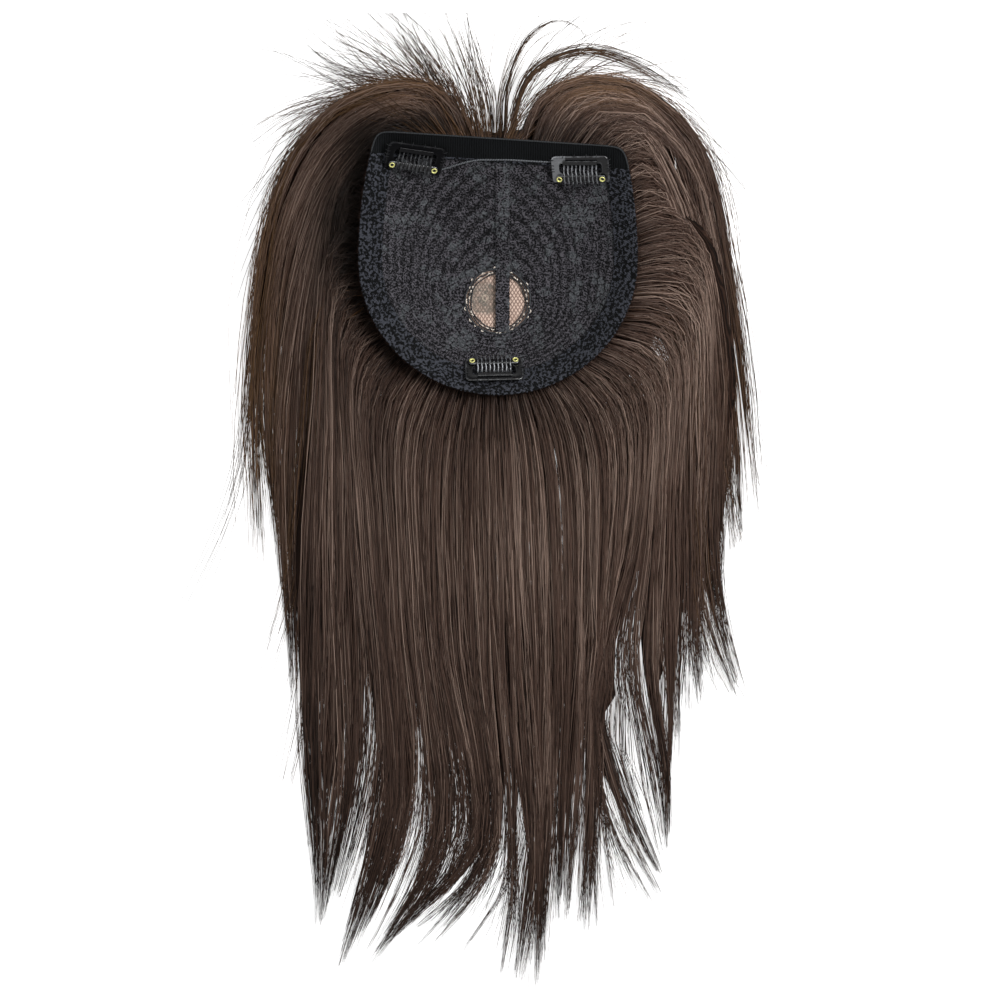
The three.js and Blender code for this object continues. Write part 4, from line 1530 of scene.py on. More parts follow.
    def build_comb(self, enamel: bpy.types.Material) -> bpy.types.Object:
        """Makes the comb's wavy teeth and its rolled hinge strip.

        Args:
            enamel: The lacquer.

        Returns:
            The comb.
        """
        run = np.array([
            (8.7, 1.25), (7.2, 1.3), (5.4, 1.62), (4.0, 2.1), (2.8, 2.42), (1.5, 2.5),
            (0.0, 2.46), (-1.5, 2.5), (-2.6, 2.4), (-3.7, 2.05), (-4.5, 1.75), (-5.0, 1.62),
        ])
        stations = np.linspace(0, len(run) - 1, 34)
        y = np.interp(stations, np.arange(len(run)), run[:, 0])
        z = np.interp(stations, np.arange(len(run)), run[:, 1])
        wave = 0.13 * np.sin(stations * 1.9)
        width = self.tooth_half * np.sqrt(np.clip((y + 5.15) / 0.7, 0.05, 1))
        draft = Draft()
        for tooth in range(self.teeth):
            x = (tooth - (self.teeth - 1) / 2) * self.pitch + wave
            line = self.seated(np.stack([x, y, z], -1))
            self.tooth(draft, line, width)
        half = ((self.teeth - 1) * self.pitch) / 2 + 0.5
        along = np.linspace(-half, half, 60)
        plate = np.linspace(self.root_front, self.root_back, 7)
        grid_y, grid_x = np.meshgrid(plate, along, indexing="ij")
        dent = 0.06 * np.cos(FULL_TURN * grid_x / self.pitch) * (plate < 8.5)[:, None]
        top = self.seated(np.stack([grid_x, grid_y, 1.5 + dent], -1))
        low = self.seated(np.stack([grid_x, grid_y, np.full(grid_x.shape, 1.0)], -1))
        draft.slab(top[::-1], low[::-1], False, edge=np.zeros(grid_x.shape))
        roll = np.stack([along, *np.tile([[self.root_back], [self.hinge_height]], 60)], -1)
        radius = self.roll_radius * MM
        draft.sweep(self.seated(roll)[None], radius, radius, 10, edge=0.1)
        body = f"comb_{self.seat.value}"
        return self.part(draft, "comb", "wavy", enamel, Slot.STEEL, body)

    def tooth(self, draft: Draft, line: np.ndarray, width: np.ndarray) -> None:
        """Adds one rounded tooth along a line, level with the clip.

        Args:
            draft: The mesh in the making.
            line: The tooth's points on the cap.
            width: Its half widths, in millimetres.
        """
        turn = FULL_TURN * (np.arange(10) + 0.5) / 10
        ahead = np.gradient(line, axis=0)
        up = np.cross(self.right, ahead)
        up /= np.linalg.norm(up, axis=1, keepdims=True)
        up *= np.sign(up @ self.normal)[:, None]
        out, rise = squared_off(np.cos(turn), 0.7), squared_off(np.sin(turn), 0.7)
        ring = self.right * (out[None, :, None] * width[:, None, None] * MM)
        ring = ring + up[:, None, :] * (rise[None, :, None] * self.tooth_thick * MM)
        # Painted highlight: the teeth's upper side takes a higher edge value, so it runs lighter.
        edge = np.tile(1.2 + 1.0 * (np.sin(turn) > 0.3), len(line))
        draft.hoops(line[:, None, :] + ring, edge=edge, around=0.0)

    def build_eyelets(self, brass: bpy.types.Material) -> list[bpy.types.Object]:
        """Makes the two eyelets.

        Args:
            brass: Their finish.

        Returns:
            The eyelets.
        """
        profile = np.array([
            (0.94, 0.05), (1.04, 0.05), (1.04, 2.1), (1.14, 2.2), (1.42, 2.22), (1.58, 2.34),
            (1.56, 2.52), (1.42, 2.66), (1.24, 2.7), (1.06, 2.62), (0.97, 2.42), (0.94, 2.0),
        ])
        turn = np.linspace(0, FULL_TURN, 32, endpoint=False)
        made = []
        for side, word in ((-1, "left"), (1, "right")):
            x = side * self.rivet + profile[:, :1] * np.cos(turn)
            y = profile[:, :1] * np.sin(turn)
            z = np.broadcast_to(profile[:, 1:], x.shape)
            draft = Draft()
            draft.hoops(self.seated(np.stack([x, y, z], -1)), turned=True, closed=True)
            made.append(self.part(draft, f"eyelet_{word}", "rolled", brass, Slot.EYELET))
        return made

    def build_threads(self, thread: bpy.types.Material) -> bpy.types.Object:
        """Makes the sewing thread through the frame's holes.

        Args:
            thread: Its finish.

        Returns:
            The stitches.
        """
        draft = Draft()
        t = np.linspace(0, 1, 13)
        arch = np.sin(math.pi * t)
        edge, inside = self.half_length + 0.9, self.half_length - 2.1
        lines = [
            (side * (inside + (edge - inside) * t), y + 0.4 * t, 0.1 + 1.15 * arch, 4.0)
            for side in (-1, 1) for y in self.side_stitches
        ]
        lines += [
            (x + 0.5 * t, self.back_reach - 1.6 + 2.4 * t, 0.25 + 1.0 * arch, 3.0)
            for x in self.back_stitches
        ]
        radius = self.thread_radius * MM
        for *line, run in lines:
            path = self.seated(np.stack(line, -1))[None]
            draft.sweep(path, radius, radius, 6, arc=t * run * MM)
        return draft.piece(f"clip_{self.seat.value}_stitches", thread)


# The hair


@dataclass(frozen=True)
class Lock:
    """A lock of hair: its root's direction in degrees, its width's share and its path."""

    root: float
    width: float
    path: tuple[tuple[float, float], ...]
    hairs: int = 24


BACK_LOCKS = (
    Lock(146, 0.8, ((-0.29, 0.17), (-0.33, 0.00), (-0.35, -0.25), (-0.35, -0.55))),
    Lock(160, 0.8, ((-0.30, 0.11), (-0.33, -0.05), (-0.35, -0.30), (-0.34, -0.60))),
    Lock(172, 0.62, ((-0.32, 0.10), (-0.37, -0.17), (-0.39, -0.50), (-0.36, -0.876))),
    Lock(178, 0.85, ((-0.31, 0.04), (-0.34, -0.21), (-0.34, -0.63), (-0.36, -0.91))),
    Lock(188, 0.9, ((-0.29, -0.03), (-0.30, -0.28), (-0.29, -0.66), (-0.35, -0.90))),
    Lock(202, 1, ((-0.26, -0.10), (-0.26, -0.34), (-0.22, -0.71), (-0.32, -0.96))),
    Lock(216, 0.95, ((-0.21, -0.15), (-0.21, -0.40), (-0.19, -0.74), (-0.29, -0.94))),
    Lock(231, 0.9, ((-0.16, -0.18), (-0.16, -0.43), (-0.12, -0.78), (-0.26, -0.96))),
    Lock(245, 1, ((-0.10, -0.20), (-0.10, -0.48), (-0.04, -0.78), (-0.25, -0.93))),
    Lock(258, 1, ((-0.04, -0.21), (-0.03, -0.51), (-0.01, -0.80), (-0.15, -0.93))),
    Lock(272, 0.95, ((0.02, -0.21), (0.04, -0.54), (0.06, -0.81), (0.03, -1.0))),
    Lock(285, 0.95, ((0.08, -0.21), (0.10, -0.54), (0.09, -0.81), (0.08, -1.0))),
    Lock(298, 0.95, ((0.14, -0.19), (0.16, -0.48), (0.14, -0.74), (0.13, -0.90))),
    Lock(310, 0.9, ((0.20, -0.17), (0.21, -0.43), (0.18, -0.76), (0.17, -0.944))),
    Lock(322, 0.95, ((0.26, -0.14), (0.26, -0.34), (0.19, -0.56), (0.26, -0.75), (0.36, -0.87))),
    Lock(335, 0.95, ((0.31, -0.10), (0.32, -0.30), (0.31, -0.53), (0.34, -0.70), (0.34, -0.82))),
    Lock(348, 0.9, ((0.35, -0.04), (0.36, -0.28), (0.35, -0.55), (0.345, -0.70))),
    Lock(2, 0.85, ((0.38, 0.00), (0.40, -0.21), (0.39, -0.43), (0.41, -0.58))),
    Lock(16, 0.75, ((0.39, 0.06), (0.43, -0.14), (0.42, -0.40), (0.51, -0.60))),
    Lock(28, 0.75, ((0.38, 0.11), (0.45, -0.07), (0.44, -0.27), (0.43, -0.48))),
    Lock(36, 0.9, ((0.33, 0.15), (0.38, 0.01), (0.40, -0.18), (0.40, -0.40))),
)
FRONT_LOCKS = (
    Lock(97, 0.62, ((-0.13, 0.30), (-0.31, 0.28), (-0.43, 0.16), (-0.49, -0.11), (-0.48, -0.42))),
    Lock(103, 0.8, ((-0.17, 0.28), (-0.31, 0.24), (-0.41, 0.12), (-0.46, -0.13), (-0.43, -0.37))),
    Lock(111, 0.8, ((-0.20, 0.26), (-0.31, 0.20), (-0.38, 0.07), (-0.42, -0.17), (-0.41, -0.57))),
    Lock(123, 0.85, ((-0.24, 0.23), (-0.32, 0.17), (-0.36, 0.02), (-0.38, -0.23), (-0.38, -0.66))),
    Lock(83, 0.6, ((0.10, 0.29), (0.23, 0.312), (0.38, 0.24), (0.465, 0.02), (0.52, -0.33))),
    Lock(76, 0.8, ((0.15, 0.29), (0.28, 0.29), (0.40, 0.17), (0.46, -0.07), (0.49, -0.37))),
    Lock(66, 0.8, ((0.21, 0.27), (0.335, 0.25), (0.425, 0.12), (0.45, -0.11), (0.42, -0.43))),
    Lock(54, 0.85, ((0.28, 0.24), (0.35, 0.17), (0.40, 0.04), (0.42, -0.14), (0.40, -0.37))),
)
STRAY_LOCKS = (
    Lock(104, 0.16, ((-0.20, 0.29), (-0.40, 0.22), (-0.47, 0.00), (-0.52, -0.27), (-0.62, -0.44))),
    Lock(86, 0.09, ((0.06, 0.32), (0.17, 0.36), (0.28, 0.34), (0.35, 0.31), (0.40, 0.28)), 40),
    Lock(92, 0.16, ((-0.02, 0.29), (-0.04, 0.33), (-0.06, 0.37), (-0.08, 0.41))),
    Lock(98, 0.16, ((-0.09, 0.30), (-0.14, 0.34), (-0.17, 0.37), (-0.19, 0.41))),
    Lock(86, 0.16, ((0.01, 0.29), (0.03, 0.34), (0.06, 0.38), (0.11, 0.41))),
    Lock(106, 0.16, ((-0.16, 0.30), (-0.26, 0.32), (-0.34, 0.34), (-0.40, 0.37))),
    Lock(110, 0.16, ((-0.21, 0.30), (-0.32, 0.29), (-0.42, 0.27), (-0.51, 0.23))),
    Lock(2, 0.14, ((0.38, 0.00), (0.42, -0.16), (0.45, -0.24), (0.49, -0.37))),
    Lock(350, 0.2, ((0.35, -0.04), (0.39, -0.30), (0.42, -0.48), (0.50, -0.60)), 40),
    Lock(178, 0.2, ((-0.33, 0.00), (-0.38, -0.20), (-0.41, -0.40), (-0.47, -0.55)), 34),
    Lock(184, 0.2, ((-0.31, -0.02), (-0.35, -0.30), (-0.38, -0.52), (-0.43, -0.70)), 34),
    Lock(86, 0.05, ((0.02, 0.31), (0.06, 0.38), (0.12, 0.405), (0.17, 0.39), (0.19, 0.35)), 7),
)


@dataclass(frozen=True)
class HairShape:
    """How the hair lies: its spread, its fall and its height over the floor."""

    spread: float = 275.0 * MM
    fall: float = 385.0 * MM
    root_height: float = 33.0 * MM
    tip_height: float = 1.4 * MM
    height_power: float = 1.7
    root_depth: float = 0.3
    lock_width: float = 25.0 * MM
    shoulder: float = 0.55
    taper_power: float = 0.8
    curve_steps: int = 40
    samples: int = 90

    def line(self, lock: Lock) -> np.ndarray:
        """The middle of a lock, as evenly spaced points on the floor plan.

        Args:
            lock: The lock.

        Returns:
            Its points.
        """
        turn = math.radians(lock.root)
        root = float(CAP.rim(np.array(turn))) * (1 - self.root_depth)
        points = [(root * math.cos(turn), root * math.sin(turn))]
        points += [(x * self.spread, y * self.fall) for x, y in lock.path]
        return self.even(self.smooth(np.array(points)))

    def smooth(self, points: np.ndarray) -> np.ndarray:
        """A centripetal curve through points.

        Args:
            points: The points that it passes.

        Returns:
            Close points on the curve.
        """
        ends = [2 * points[0] - points[1], 2 * points[-1] - points[-2]]
        whole = np.vstack([ends[0], points, ends[1]])
        pieces = []
        for k in range(len(whole) - 3):
            four = whole[k:k + 4]
            knots = np.cumsum([0, *np.linalg.norm(np.diff(four, axis=0), axis=1) ** 0.5])
            t = np.linspace(knots[1], knots[2], self.curve_steps)[:, None]
            near = [between(four[i], four[i + 1], knots[i], knots[i + 1], t) for i in range(3)]
            wide = [between(near[i], near[i + 1], knots[i], knots[i + 2], t) for i in range(2)]
            pieces.append(between(*wide, knots[1], knots[2], t))
        return np.concatenate(pieces)

    def even(self, line: np.ndarray) -> np.ndarray:
        """A line resampled at even steps.

        Args:
            line: Its points.

        Returns:
            The same line, evenly spaced.
        """
        run = run_along(line)
        steps = np.linspace(0, run[-1], self.samples)
        return np.stack([np.interp(steps, run, line[:, k]) for k in range(2)], -1)

    def height(self, share: np.ndarray) -> np.ndarray:
        """Top of a lock over the floor.

        Args:
            share: 0 at the root, 1 at the tip.

        Returns:
            The height.
        """
        fall = (1 - share) ** self.height_power
        return self.tip_height + (self.root_height - self.tip_height) * fall

    def half_width(self, lock: Lock, share: np.ndarray) -> np.ndarray:
        """Half the lock's width.

        Args:
            lock: The lock.
            share: 0 at the root, 1 at the tip.

        Returns:
            The half width.
        """
        beyond = np.clip((1 - share) / (1 - self.shoulder), 0, 1)
        return lock.width * self.lock_width / 2 * beyond**self.taper_power


SHAPE = HairShape()


@dataclass(frozen=True)
class Parting:
    """A slit between locks, in millimetres: its ends, half its width and the hair's give."""

    start: tuple[float, float]
    end: tuple[float, float]
    half: float
    give: float = 5.0

    def push(self, x: np.ndarray, y: np.ndarray) -> tuple[np.ndarray, np.ndarray]:
        """How far the hair at some places gives way to the slit.

        Args:
            x: Places across.
            y: Places along.

        Returns:
            The moves across and along.
        """
        run = np.subtract(self.end, self.start) * MM
        length = float(np.hypot(*run))
        east, north = run / length
        from_x, from_y = x - self.start[0] * MM, y - self.start[1] * MM
        along = np.clip((from_x * east + from_y * north) / length, 0, 1)
        off = from_y * east - from_x * north
        open_here = self.half * MM * np.sin(math.pi * along) ** 0.7
        move = open_here * np.exp(-np.abs(off) / (self.give * MM))
        move = np.where(off >= 0, move, -move)
        return -north * move, east * move


PARTINGS = (
    Parting((92.0, 86.0), (115.0, 50.0), 3.2, 4.0),
    Parting((-97.0, -220.0), (-89.0, -298.0), 2.6),
    Parting((-68.0, -255.0), (-62.0, -306.0), 2.4),
    Parting((-49.0, -210.0), (-50.0, -270.0), 1.5, 3.0),
    Parting((-33.0, -230.0), (-38.0, -290.0), 1.4, 3.0),
    Parting((11.0, -270.0), (15.0, -330.0), 3.0),
    Parting((48.0, -196.0), (80.0, -258.0), 5.0, 7.0),
    Parting((88.0, -190.0), (94.0, -240.0), 2.0, 3.5),
    Parting((104.0, -196.0), (110.0, -240.0), 2.6),
)


def parted(x: np.ndarray, y: np.ndarray) -> tuple[np.ndarray, np.ndarray]:
    """Places after the hair has given way to every slit.

    Args:
        x: Places across.
        y: Places along.

    Returns:
        The new places.
    """
    for parting in PARTINGS:
        across, along = parting.push(x, y)
        x, y = x + across, y + along
    return x, y


def beside(line: np.ndarray) -> np.ndarray:
    """Unit vectors to the side of plan lines.

    Args:
        line: Points along the last but one axis.

    Returns:
        The vectors.
    """
    ahead = unit(np.gradient(line, axis=-2))
    return np.stack([-ahead[..., 1], ahead[..., 0]], -1)


def under_cap(x: np.ndarray, y: np.ndarray, z: np.ndarray, gap: float = NET_GAP) -> np.ndarray:
    """Heights kept under the net.

    Args:
        x: Places across.
        y: Places along.
        z: The wished heights.
        gap: Distance kept to the net's upper face.

    Returns:
        The heights.
    """
    below = np.minimum(z, CAP.height(x, y) - gap)
    return np.where(CAP.share(x, y) < 1.03, below, z)


@dataclass(frozen=True)
class UnderHair:
    """The body of the hair: a bed under the cap and one tapering mass in each lock."""

    sides: int = 16
    stations: int = 34
    fill: float = 0.72
    wave_fill: float = 0.6
    end: float = 0.87
    floor: float = 0.3 * MM
    gap: float = 3.4 * MM
    bed_gap: float = 3.3 * MM
    bed_sides: int = 360
    skirt: tuple[tuple[float, float], ...] = (
        (14.0, 0.4), (20.0, 1.5), (21.0, 4.0), (18.0, 7.0), (11.0, 11.0), (3.5, 17.0),
        (0.3, 29.0), (-0.4, 34.4),
    )

    def build(self) -> bpy.types.Object:
        """Makes the bed and the masses as one mesh.

        Returns:
            The piece.
        """
        draft = Draft()
        self.bed(draft)
        for lock in (*BACK_LOCKS, *FRONT_LOCKS):
            self.mass(draft, lock)
        made = draft.piece("hair_under", UnderHairFinish().material())
        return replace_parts(made, "hair")

    def mass(self, draft: Draft, lock: Lock) -> None:
        """Adds the tapering mass in one lock.

        Args:
            draft: The mesh in the making.
            lock: The lock.
        """
        share = np.linspace(0, self.end, self.stations)
        plan = part_way(SHAPE.line(lock), share)
        pinch = np.clip((self.end - share) / 0.35, 0.02, 1) ** 0.8
        fill = self.wave_fill if lock in FRONT_LOCKS else self.fill
        half = SHAPE.half_width(lock, share) * fill * pinch
        top = under_cap(plan[:, 0], plan[:, 1], SHAPE.height(share) * self.fill, self.gap)
        middle = self.floor + (top - self.floor) / 2
        turn = FULL_TURN * np.arange(self.sides) / self.sides
        wide = half[:, None] * squared_off(np.cos(turn), 0.8)
        tall = np.maximum((top - self.floor) / 2, 0.25 * MM)[:, None] * np.sin(turn)
        x, y = parted(*np.moveaxis(plan[:, None] + beside(plan)[:, None] * wide[..., None], -1, 0))
        points = np.stack([x, y, middle[:, None] + tall], -1)
        draft.hoops(points, across=wide + np.abs(tall))

    def bed(self, draft: Draft) -> None:
        """Adds the hair packed between the cap and the floor.

        Args:
            draft: The mesh in the making.
        """
        turn = np.linspace(0, FULL_TURN, self.bed_sides, endpoint=False)
        rim = CAP.rim(turn)
        narrow = 1 - 0.75 * bump(np.degrees(turn), 93, 26)
        ripple = 0.5 * MM * (np.sin(90 * turn) + 0.6 * np.sin(61 * turn + 1))
        rings = []
        for far, high in self.skirt:
            reach = rim + far * MM * narrow + ripple * (high < 34)
            top = np.full(self.bed_sides, high * MM)
            rings.append(np.stack([reach * np.cos(turn), reach * np.sin(turn), top], -1))
        for share in np.linspace(0.96, 0.03, 12):
            rings.append(CAP.lay(turn, rim * share, -self.bed_gap))
        across = np.tile(turn * 70 * MM, len(rings))
        draft.hoops(np.stack(rings), turned=True, across=across)


RING = (*FRONT_LOCKS[:4], *BACK_LOCKS, *FRONT_LOCKS[:3:-1])


@dataclass(frozen=True)
class Hollow:
    """A shaded hollow in the hair, in millimetres: its middle, its reaches and its depth."""

    x: float
    y: float
    wide: float
    long: float
    deep: float

    def shade(self, x: np.ndarray, y: np.ndarray) -> np.ndarray:
        """How deep in shade places lie, from 0 in the open towards 1."""
        across, along = (x / MM - self.x) / self.wide, (y / MM - self.y) / self.long
        return self.deep * np.exp(-(across**2) - along**2)


HOLLOWS = (
    Hollow(-88.0, 42.0, 17.0, 42.0, 0.95),
    Hollow(-76.0, 86.0, 20.0, 18.0, 0.95),
    Hollow(-36.0, 97.0, 18.0, 9.0, 0.95),
    Hollow(34.0, 92.0, 26.0, 7.0, 0.7),
    Hollow(4.0, -62.0, 70.0, 8.0, 0.45),
    Hollow(45.0, -74.0, 9.0, 16.0, 0.4),
    Hollow(-62.0, -82.0, 7.0, 60.0, 0.35),
)


def shade_at(x: np.ndarray, y: np.ndarray) -> np.ndarray:
    """How deep in shade the hair lies, beside the cap and in the hollows.

    Args:
        x: Places across.
        y: Places along.

    Returns:
        0 in the open, towards 1 in a hollow.
    """
    lit = ease(x, -70 * MM, -20 * MM)
    beside_cap = (0.85 - 0.45 * lit) * (1 - ease(CAP.share(x, y), 1.0, 1.2 - 0.1 * lit))
    return beside_cap + np.maximum.reduce([hollow.shade(x, y) for hollow in HOLLOWS])


def backlight_at(x: np.ndarray, y: np.ndarray) -> np.ndarray:
    """How much golden painted backlight the hair may take along its outer edges.

    Args:
        x: Places across.
        y: Places along.

    Returns:
        0 in the middle, 1 at the edges.
    """
    west = ease(-x, 108 * MM, 140 * MM)
    north = ease(y, 98 * MM, 122 * MM) * ease(np.abs(x), 8 * MM, 40 * MM)
    return np.maximum.reduce([west, north, 0.5 * ease(x, 118 * MM, 140 * MM)])


@dataclass(frozen=True)
class StrandStyle:
    """How the loose strands between neighbouring locks are drawn."""

    count: int
    seed: int
    half: float = 0.16 * MM
    stations: int = 12
    clumps: int = 11
    sway: float = 1.3 * MM
    tip_spread: float = 4.6 * MM
    loose_share: float = 0.32
    halo_share: float = 0.0
    shortening: float = 0.42
    outer_cut: float = 0.0


@dataclass
class Strands:
    """Fine strands that fill the hair from one lock of the ring to another."""

    name: str
    first: int
    last: int
    style: StrandStyle

    def build(self, finish: bpy.types.Material) -> bpy.types.Object:
        """Makes the strands as one mesh.

        Args:
            finish: Their material.

        Returns:
            The piece.
        """
        draw = np.random.default_rng(self.style.seed)
        lines = [SHAPE.line(lock) for lock in RING]
        sizes = np.array([
            lock.width * np.linalg.norm(np.diff(line, axis=0), axis=1).sum()
            for lock, line in zip(RING, lines)
        ])[self.first:self.last + 1]
        weights = sizes[:-1] + sizes[1:]
        counts = (self.style.count * weights / weights.sum()).astype(int)
        draft = Draft()
        for k, count in enumerate(counts):
            near, far = self.first + k, self.first + k + 1
            inner = 0.35 if near == 0 else 0.0
            outer = 0.65 if far == len(RING) - 1 else 1.0
            self.fill(draft, lines[near], lines[far], int(count), (inner, outer), draw)
        if self.style.halo_share:
            edge = self.first if self.first == 0 else self.last
            inward = 1 if edge == 0 else -1
            count = int(self.style.count * self.style.halo_share)
            self.halo(draft, lines[edge], lines[edge + inward], count, draw)
        return draft.piece(self.name, finish)

    def shares(self, count: int, longest: np.ndarray, draw: np.random.Generator) -> np.ndarray:
        """Places of each strand's stations along its lock.

        Args:
            count: How many strands.
            longest: Each strand's own end.
            draw: The random numbers.

        Returns:
            0 at the lock's root to 1 at its tip.
        """
        start = draw.uniform(0.0, 0.14, count)
        steps = np.linspace(0, 1, self.style.stations) ** 1.25
        return start[:, None] + (longest - start)[:, None] * steps

    def fill(self, draft: Draft, near: np.ndarray, far: np.ndarray, count: int,
             span: tuple[float, float], draw: np.random.Generator) -> None:
        """Adds the strands between two neighbouring locks.

        Args:
            draft: The mesh in the making.
            near: The one lock's middle.
            far: The other lock's middle.
            count: How many strands.
            span: The part of the way between the locks that is filled.
            draw: The random numbers.
        """
        style = self.style
        centre = (np.arange(style.clumps) + draw.uniform(0.1, 0.9, style.clumps)) / style.clumps
        centre = span[0] + (span[1] - span[0]) * centre
        pick = draw.integers(0, style.clumps, count)
        loose = draw.random(count) < style.loose_share
        own = centre[pick] + draw.normal(0, 0.75 / style.clumps, count)
        calm = 1.0 if span == (0.0, 1.0) else 0.35
        longest = draw.uniform(0.93, 1.0, style.clumps)[pick]
        longest = longest - style.shortening * draw.random(count) ** 1.8
        longest = longest - style.outer_cut * (calm < 1) * (draw.random(count) < 0.85)
        share = self.shares(count, longest, draw)
        hold = np.where(loose, 0.2, 0.93)[:, None] * ease(share, 0.52, 0.95)
        gather = np.where(loose, 0.1, 0.74)[:, None] * ease(share, 0.2, 0.85)
        weight = own[:, None] + (centre[pick] - own)[:, None] * gather
        nearest = np.round(centre)
        target = nearest + (centre - nearest) * draw.uniform(0.0, 0.75, style.clumps)
        weight = weight + (target[pick][:, None] - weight) * hold
        one, two = part_way(near, share), part_way(far, share)
        plan = one + (two - one) * weight[..., None]
        aside = draw.normal(0, 0.55, style.clumps)[pick] + draw.normal(0, 0.3, count)
        narrow = 1 - 0.65 * ease(share, 0.75, 1.0)
        shift = aside[:, None] * style.tip_spread * ease(share, 0.3, 0.75) * narrow
        pace = draw.uniform(0.8, 1.9, style.clumps)[pick]
        phase = draw.uniform(0, SWAY_TURN, style.clumps)[pick]
        sway = draw.uniform(0.3, 1.0, style.clumps)[pick] * style.sway
        tone = draw.normal(0.46, 0.08, style.clumps)[pick] + draw.normal(0, 0.19, count)
        swing = np.sin(pace[:, None] * share * SWAY_TURN + phase[:, None]) * sway[:, None]
        shift = calm * (shift + swing * ease(share, 0.05, 0.5))
        self.lay(draft, share, plan, shift, tone, loose, draw)

    def halo(self, draft: Draft, edge: np.ndarray, inner: np.ndarray, count: int,
             draw: np.random.Generator) -> None:
        """Adds wisps that stand off the outer edge of a wave.

        Args:
            draft: The mesh in the making.
            edge: The outermost lock's middle.
            inner: The next lock's middle.
            count: How many strands.
            draw: The random numbers.
        """
        longest = 1.0 - 0.55 * draw.random(count)
        share = self.shares(count, longest, draw)
        plan, away = part_way(edge, share), part_way(edge - inner, share)
        outward = np.sign((beside(plan) * away).sum(-1).mean())
        far = np.abs(draw.normal(0, 1, count)) ** 1.3
        bulge = np.sin(np.pi * np.clip(share / draw.uniform(0.7, 1.5, count)[:, None], 0, 1))
        shift = outward * far[:, None] * (0.7 + 1.2 * share + 2.6 * bulge) * MM
        shift = shift + draw.normal(0, 1.2, count)[:, None] * MM
        shift = shift + waver(draw, 0.6, 2.0, share) * 1.8 * MM * ease(share, 0.1, 0.6)
        tone = draw.normal(0.48, 0.12, count)
        self.lay(draft, share, plan, shift, tone, np.ones(count, bool), draw)

    def lay(self, draft: Draft, share: np.ndarray, plan: np.ndarray, shift: np.ndarray,
            tone: np.ndarray, loose: np.ndarray, draw: np.random.Generator) -> None:
        """Gives strands their height, colour and thickness and adds them.

        Args:
            draft: The mesh in the making.
            share: Places of the stations along the lock.
            plan: Their points on the floor plan.
            shift: How far each point moves aside.
            tone: Each strand's lightness.
            loose: Whether it lies by itself.
            draw: The random numbers.
        """
        count = len(share)
        layer = draw.random(count) ** 0.5
        fine = waver(draw, 1.5, 4, share)
        shift = shift + fine * np.where(loose, 1.0, 0.3)[:, None] * MM
        x, y = parted(*np.moveaxis(plan + beside(plan) * shift[..., None], -1, 0))
        low, buried = 0.5 * MM, (1 - layer)[:, None]
        z = low + (SHAPE.height(share) - low) * (0.22 + 0.78 * layer)[:, None]
        z = z + ease(share, 0.1, 0.4) * 0.4 * MM * fine
        z = np.maximum(under_cap(x, y, z), 0.35 * MM)
        # Painted backlight: golden along the outer edges, a random share for each strand.
        gold = backlight_at(x, y) * draw.uniform(0.0, 0.5, count)[:, None]
        # Painted highlight: a lighter band near share 0.3. Painted shade: buried strands darker. The tone also
        # runs darker towards the tips.
        level = tone[:, None] + 0.16 * bump(share, 0.3, 0.15) - 0.22 * buried
        level = level - 0.14 * ease(share, 0.55, 0.85)
        shadow = shade_at(x, y) + 0.4 * buried
        thin = self.style.half * draw.uniform(0.65, 1.15, count)[:, None]
        thin = thin * (1 - 0.72 * ease(share, 0.8, 1.0))
        draft.sweep(np.stack([x, y, z], -1), thin, thin, 3,
                    tone=level, gold=gold, shadow=np.clip(shadow, 0, 0.93))


